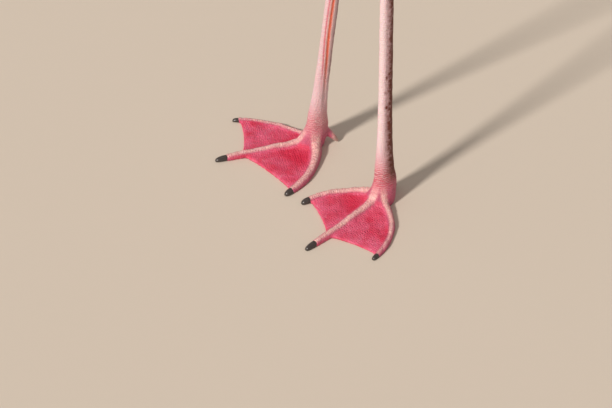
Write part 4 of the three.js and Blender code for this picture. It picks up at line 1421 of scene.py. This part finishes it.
def contour_vanes(start, end, shape, rng):
    """Body feathers between two places on the spine, in rows round the body."""
    length, width = column(COVER, 1), column(COVER, 2)

    def row(s):
        around = TAU * math.sqrt((smooth(HALF_WIDTH, s) ** 2 + smooth(HALF_HEIGHT, s) ** 2) / 2)
        return -math.pi, math.pi, around / (SIDE_SHARE * smooth(width, s))

    s, angle = staggered(start, end, lambda at: float(ROW_SHARE * smooth(length, at)), row, rng)
    vanes = Vanes(
        on_shaped, s, angle, smooth(length, s), smooth(width, s), shape, smooth(COAT_DEPTH, s), rng,
        thick=0.2 if end >= HEAD_START else 0.24,
    )
    return vanes.blush(blush_at(s, np.abs(angle)) + rng.uniform(-0.06, 0.06, len(s)))


class FLAMINGO_OT_coat(bpy.types.Operator):
    """Contour feathers: small vanes in staggered rows over head, neck, trunk and thighs"""

    bl_idname = "flamingo.coat"
    bl_label = "Body feathers"

    def execute(self, context):
        coat = context.scene.flamingo_coat
        material = plumage("contour_plumage", coat.pale, coat.blush, 0.62, 0.2)
        rng = np.random.default_rng(coat.seed)
        head = contour_vanes(1221, HEAD_START, SMALL, rng)
        ahead, above = head_place(head.rings[:, :, 0])
        clear = (np.hypot(ahead, above) > LID_CLEARANCE).all(1)
        clear &= (face_mask(head.rings[:, :, 0]) < 0.3).all(1)
        coat_piece("head_feathers", material, "pale_plumage", ("head",), head.keep(clear))
        for part, start, end, shape in (
            ("upper", HEAD_START, 900, FINE), ("middle", 900, 700, FINE), ("lower", 700, 560, CONTOUR),
        ):
            neck = contour_vanes(start, end, shape, rng)
            coat_piece(f"neck_feathers_{part}", material, "pale_plumage", (f"neck_{part}",), neck)
        body = contour_vanes(560, 24, CONTOUR, rng)
        s, angle = body.root.T
        slack = np.radians(9)
        under = (np.abs(angle) > np.radians(smooth(WING_TOP, s)) + slack) & (s > 60) & (s < 430)
        under &= np.abs(angle) < np.radians(smooth(WING_LOW, s)) - slack
        layers = [body.keep(~under), self.tail_fan(rng)]
        layers += [self.shoulder(leg["side"], rng) for leg in LEGS.values()]
        coat_piece("trunk_feathers", material, "pale_plumage", ("trunk", "tail"), *layers)
        for name, leg in LEGS.items():
            thigh = self.thigh(leg, rng)
            coat_piece(f"thigh_feathers_{name}", material, "pale_plumage", (f"thigh_{name}",), thigh)
        return {"FINISHED"}

    def tail_fan(self, rng):
        """Twelve tail feathers, the middle ones longest and on top."""
        share = np.linspace(-0.92, 0.92, 12)
        fan = Vanes(
            on_tail, np.full_like(share, 108.0), share * 0.6, 104 - 10 * share ** 2, 15.0, BLADE, 1.0, rng,
            level=1.6 - 2.4 * np.abs(share), thick=0.7,
        )
        return fan.blush(np.full_like(share, 0.55))

    def shoulder(self, side, rng):
        """Breast feathers that lap over the bend of the folded wing, from the body's surface to its own."""
        def place(s, share, lift):
            top, low = np.radians(smooth(WING_TOP, s)), np.radians(smooth(WING_LOW, s))
            body = on_body(s, side * (top + (low - top) * share), lift)
            return body + (on_wing(side, s, share, lift) - body) * ramp(-s, -498, -462)[..., None]

        s, share = staggered(512, 446, lambda at: 7.5, lambda at: (-0.1, 1.1, 24), rng)
        vanes = Vanes(place, s, share, 31.0, 12.5, CONTOUR, 4.0, rng, level=0.5, thick=0.3)
        return vanes.blush(0.15 + 0.75 * ramp(-s, -482, -446) + rng.uniform(-0.08, 0.08, len(s)))

    def thigh(self, leg, rng):
        """Feathers round a thigh, down to the hem above the bare leg."""
        def row(z):
            around = TAU * (smooth(column(THIGH_STATIONS, 1), z) + smooth(column(THIGH_STATIONS, 2), z)) / 2
            return 0.0, TAU, around / 4.6

        def place(z, angle, lift):
            return on_thigh(leg, z, angle, lift - 0.6 * np.maximum(z - 668, 0))

        z, angle = staggered(702, 514, lambda at: 4.2 + 2.4 * (at > 560), row, rng)
        depth = np.where(z > 560, 5.0, 3.4)
        vanes = Vanes(place, z, angle, 15 + 11 * ramp(z, 520, 600), 9.0, CONTOUR, depth, rng)
        return vanes.blush(0.12 + rng.uniform(-0.06, 0.1, len(z)))


class FLAMINGO_OT_wings(bpy.types.Operator):
    """Folded wings: rows of coverts, scapulars and tertials over them, and black primaries below"""

    bl_idname = "flamingo.wings"
    bl_label = "Wing feathers"

    def execute(self, context):
        coat = context.scene.flamingo_coat
        pink = plumage("covert_plumage", coat.covert_pale, coat.covert, 0.6, 0.2)
        black = plumage("flight_plumage", coat.flight, coat.flight_worn, 0.42, 0.0)
        for name, leg in LEGS.items():
            side = leg["side"]
            rng = np.random.default_rng(coat.seed + 5)
            layers = self.coverts(side, rng), self.scapulars(side, rng), self.tertials(side, rng)
            coat_piece(f"wing_feathers_{name}", pink, "wing_plumage", (f"wing_{name}",), *layers)
            layers = self.primaries(side, rng), self.secondaries(side, rng)
            coat_piece(f"flight_feathers_{name}", black, "flight_feathers", (f"primaries_{name}",), *layers)
        return {"FINISHED"}

    def coverts(self, side, rng):
        """Coverts from small ones at the bend of the wing to long ones behind."""
        def length(s, share):
            return 17 + 62 * (1 - ramp(s, 60, 430)) + 10 * share

        def row(s):
            arc = math.radians(smooth(WING_LOW, s) - smooth(WING_TOP, s)) * smooth(CARRIER_HEIGHT, s)
            return -0.02, 1.02, arc / (0.2 * length(s, 0.5) + 2.2)

        s, share = staggered(476, 42, lambda at: float(0.26 * length(at, 0.5)), row, rng)
        size = length(s, share)
        vanes = Vanes(
            partial(on_wing, side), s, share, np.minimum(size, s - 6), 5 + 0.34 * size, CONTOUR, WING_DEPTH,
            rng, turn=0.12, thick=0.4,
        )
        deep = 0.42 + 0.42 * ramp(share, 0.2, 0.75) - 0.32 * ramp(s, 405, 470) - 0.28 * ramp(-s, -290, -190)
        return vanes.blush(np.clip(deep + rng.uniform(-0.09, 0.09, len(s)), 0, 1))

    def scapulars(self, side, rng):
        """Long pale feathers from the shoulder over the upper part of the wing."""
        s, share = staggered(440, 190, lambda at: 19.0, lambda at: (0.05, 0.42, 6), rng)
        size = 58 + 45 * ramp(-s, -400, -230) * (1 - 0.3 * share)
        vanes = Vanes(
            partial(on_wing, side), s, share, size, 20.0, CONTOUR, 2.5, rng, rise=1.2, level=0.7, turn=0.08,
            thick=0.5,
        )
        return vanes.blush(0.1 + 0.25 * ramp(share, 0.1, 0.35) + rng.uniform(-0.08, 0.08, len(s)))

    def tertials(self, side, rng):
        """The longest feathers, drooping over the rear of the wing."""
        share = np.linspace(0.1, 0.8, 13)
        s = 205 - 55 * np.abs(share - 0.35)
        vanes = Vanes(
            partial(on_wing, side), s, share, s - 22 - 30 * share, 25.0, BLADE, 1.0, rng, rise=0.8,
            level=2.2 - 1.4 * share, turn=0.02, thick=0.8,
        )
        return vanes.blush(0.3 + 0.25 * share + rng.uniform(-0.08, 0.08, len(s)))

    def primaries(self, side, rng):
        """Nine black blades whose tips step back from the longest."""
        k = np.arange(9) / 8
        tip = -33 + 62 * np.abs(0.85 - k) ** 1.1
        root = np.full_like(k, 150.0)
        vanes = Vanes(
            partial(on_quills, side), root, 0.12 + 0.7 * k, root - tip, 19.0, BLADE, 1.2, rng,
            level=2.4 * k - 2.6, thick=0.8,
        )
        return vanes.blush(rng.uniform(0, 1, len(k)))

    def secondaries(self, side, rng):
        """Black edge of the folded secondaries below the coverts."""
        s = np.linspace(330, 150, 14)
        vanes = Vanes(
            partial(on_wing, side), s, np.full_like(s, 0.94), 105.0, 20.0, BLADE, 0.6, rng, level=-3.0,
            turn=0.04, thick=0.8,
        )
        return vanes.blush(rng.uniform(0, 1, len(s)))


# ---- stage ---------------------------------------------------------------------------

FLOOR_SIZE = 60000                  # mm, past what any view shows
CAMERA_TARGET = (18.2, 2.8, 0)      # where the camera looks, mm
CAMERA_DISTANCE = 2170
CAMERA_LENS = 147.06
SENSOR_WIDTH = 36
KEY_SPREAD = 7                      # the key light's width in degrees, for soft shadow edges


def heading(azimuth, elevation):
    """Unit vector from the bird towards a heading measured from -Y towards +X, and a height."""
    return np.array([
        math.sin(azimuth) * math.cos(elevation), -math.cos(azimuth) * math.cos(elevation),
        math.sin(elevation),
    ])


def aim(thing, place, target):
    """Puts a lamp or camera at a place in mm, looking at a target."""
    thing.location = Vector(place) * MM
    thing.rotation_euler = (Vector(target) * MM - thing.location).to_track_quat("-Z", "Y").to_euler()


class FLAMINGO_OT_stage(bpy.types.Operator):
    """Plain pale floor, soft studio light and the camera"""

    bl_idname = "flamingo.stage"
    bl_label = "Stage"

    def execute(self, context):
        stage = context.scene.flamingo_stage
        half = FLOOR_SIZE / 2
        corners = np.array([(-half, -half, 0), (half, -half, 0), (half, half, 0), (-half, half, 0)], float)
        floor = put_mesh("floor", corners, np.array([[0, 1, 2, 3]]))
        floor.data.materials.append(floor_surface(stage))
        world = bpy.data.worlds.new("studio")
        world.use_nodes = True
        background = world.node_tree.nodes["Background"]
        background.inputs["Color"].default_value = (*stage.fill_colour, 1)
        background.inputs["Strength"].default_value = stage.fill
        context.scene.world = world
        context.scene.view_settings.view_transform = "Standard"
        key = bpy.data.lights.new("key", "SUN")
        key.energy = stage.key_power
        key.angle = math.radians(KEY_SPREAD)
        key.color = stage.key_colour
        lamp = bpy.data.objects.new("key", key)
        context.scene.collection.objects.link(lamp)
        aim(lamp, 5000 * heading(stage.key_direction, stage.key_height), (0, 0, 0))
        lens = bpy.data.cameras.new("camera")
        lens.lens = CAMERA_LENS
        lens.sensor_width = SENSOR_WIDTH
        lens.clip_end = 200
        camera = bpy.data.objects.new("camera", lens)
        context.scene.collection.objects.link(camera)
        away = heading(stage.azimuth, stage.elevation)
        aim(camera, np.array(CAMERA_TARGET) + CAMERA_DISTANCE * away, CAMERA_TARGET)
        context.scene.camera = camera
        return {"FINISHED"}


# ---- add-on --------------------------------------------------------------------------

STEPS = (
    FLAMINGO_OT_stage, FLAMINGO_OT_skin, FLAMINGO_OT_claws, FLAMINGO_OT_bill, FLAMINGO_OT_eyes,
    FLAMINGO_OT_coat, FLAMINGO_OT_wings,
)
SETTINGS = {
    "flamingo_skin": FlamingoSkinSettings, "flamingo_coat": FlamingoCoatSettings,
    "flamingo_horn": FlamingoHornSettings, "flamingo_stage": FlamingoStageSettings,
}


class FLAMINGO_PT_panel(bpy.types.Panel):
    """Sizes, colours and steps of the flamingo"""

    bl_label = "Greater flamingo"
    bl_idname = "FLAMINGO_PT_panel"
    bl_space_type = "VIEW_3D"
    bl_region_type = "UI"
    bl_category = "Flamingo"

    def draw(self, context):
        for key, group in SETTINGS.items():
            for field in group.__annotations__:
                self.layout.prop(getattr(context.scene, key), field)
        for step in STEPS:
            self.layout.operator(step.bl_idname)


CLASSES = (*SETTINGS.values(), *STEPS, FLAMINGO_PT_panel)


def register():
    """Adds the settings, steps and panel."""
    for cls in CLASSES:
        bpy.utils.register_class(cls)
    for key, group in SETTINGS.items():
        setattr(bpy.types.Scene, key, PointerProperty(type=group))


def unregister():
    """Takes them away again, in reverse order."""
    for key in SETTINGS:
        delattr(bpy.types.Scene, key)
    for cls in reversed(CLASSES):
        bpy.utils.unregister_class(cls)


def main():
    register()
    for step in STEPS:
        group, call = step.bl_idname.split(".")
        getattr(getattr(bpy.ops, group), call)()


if __name__ == "__main__":
    main()
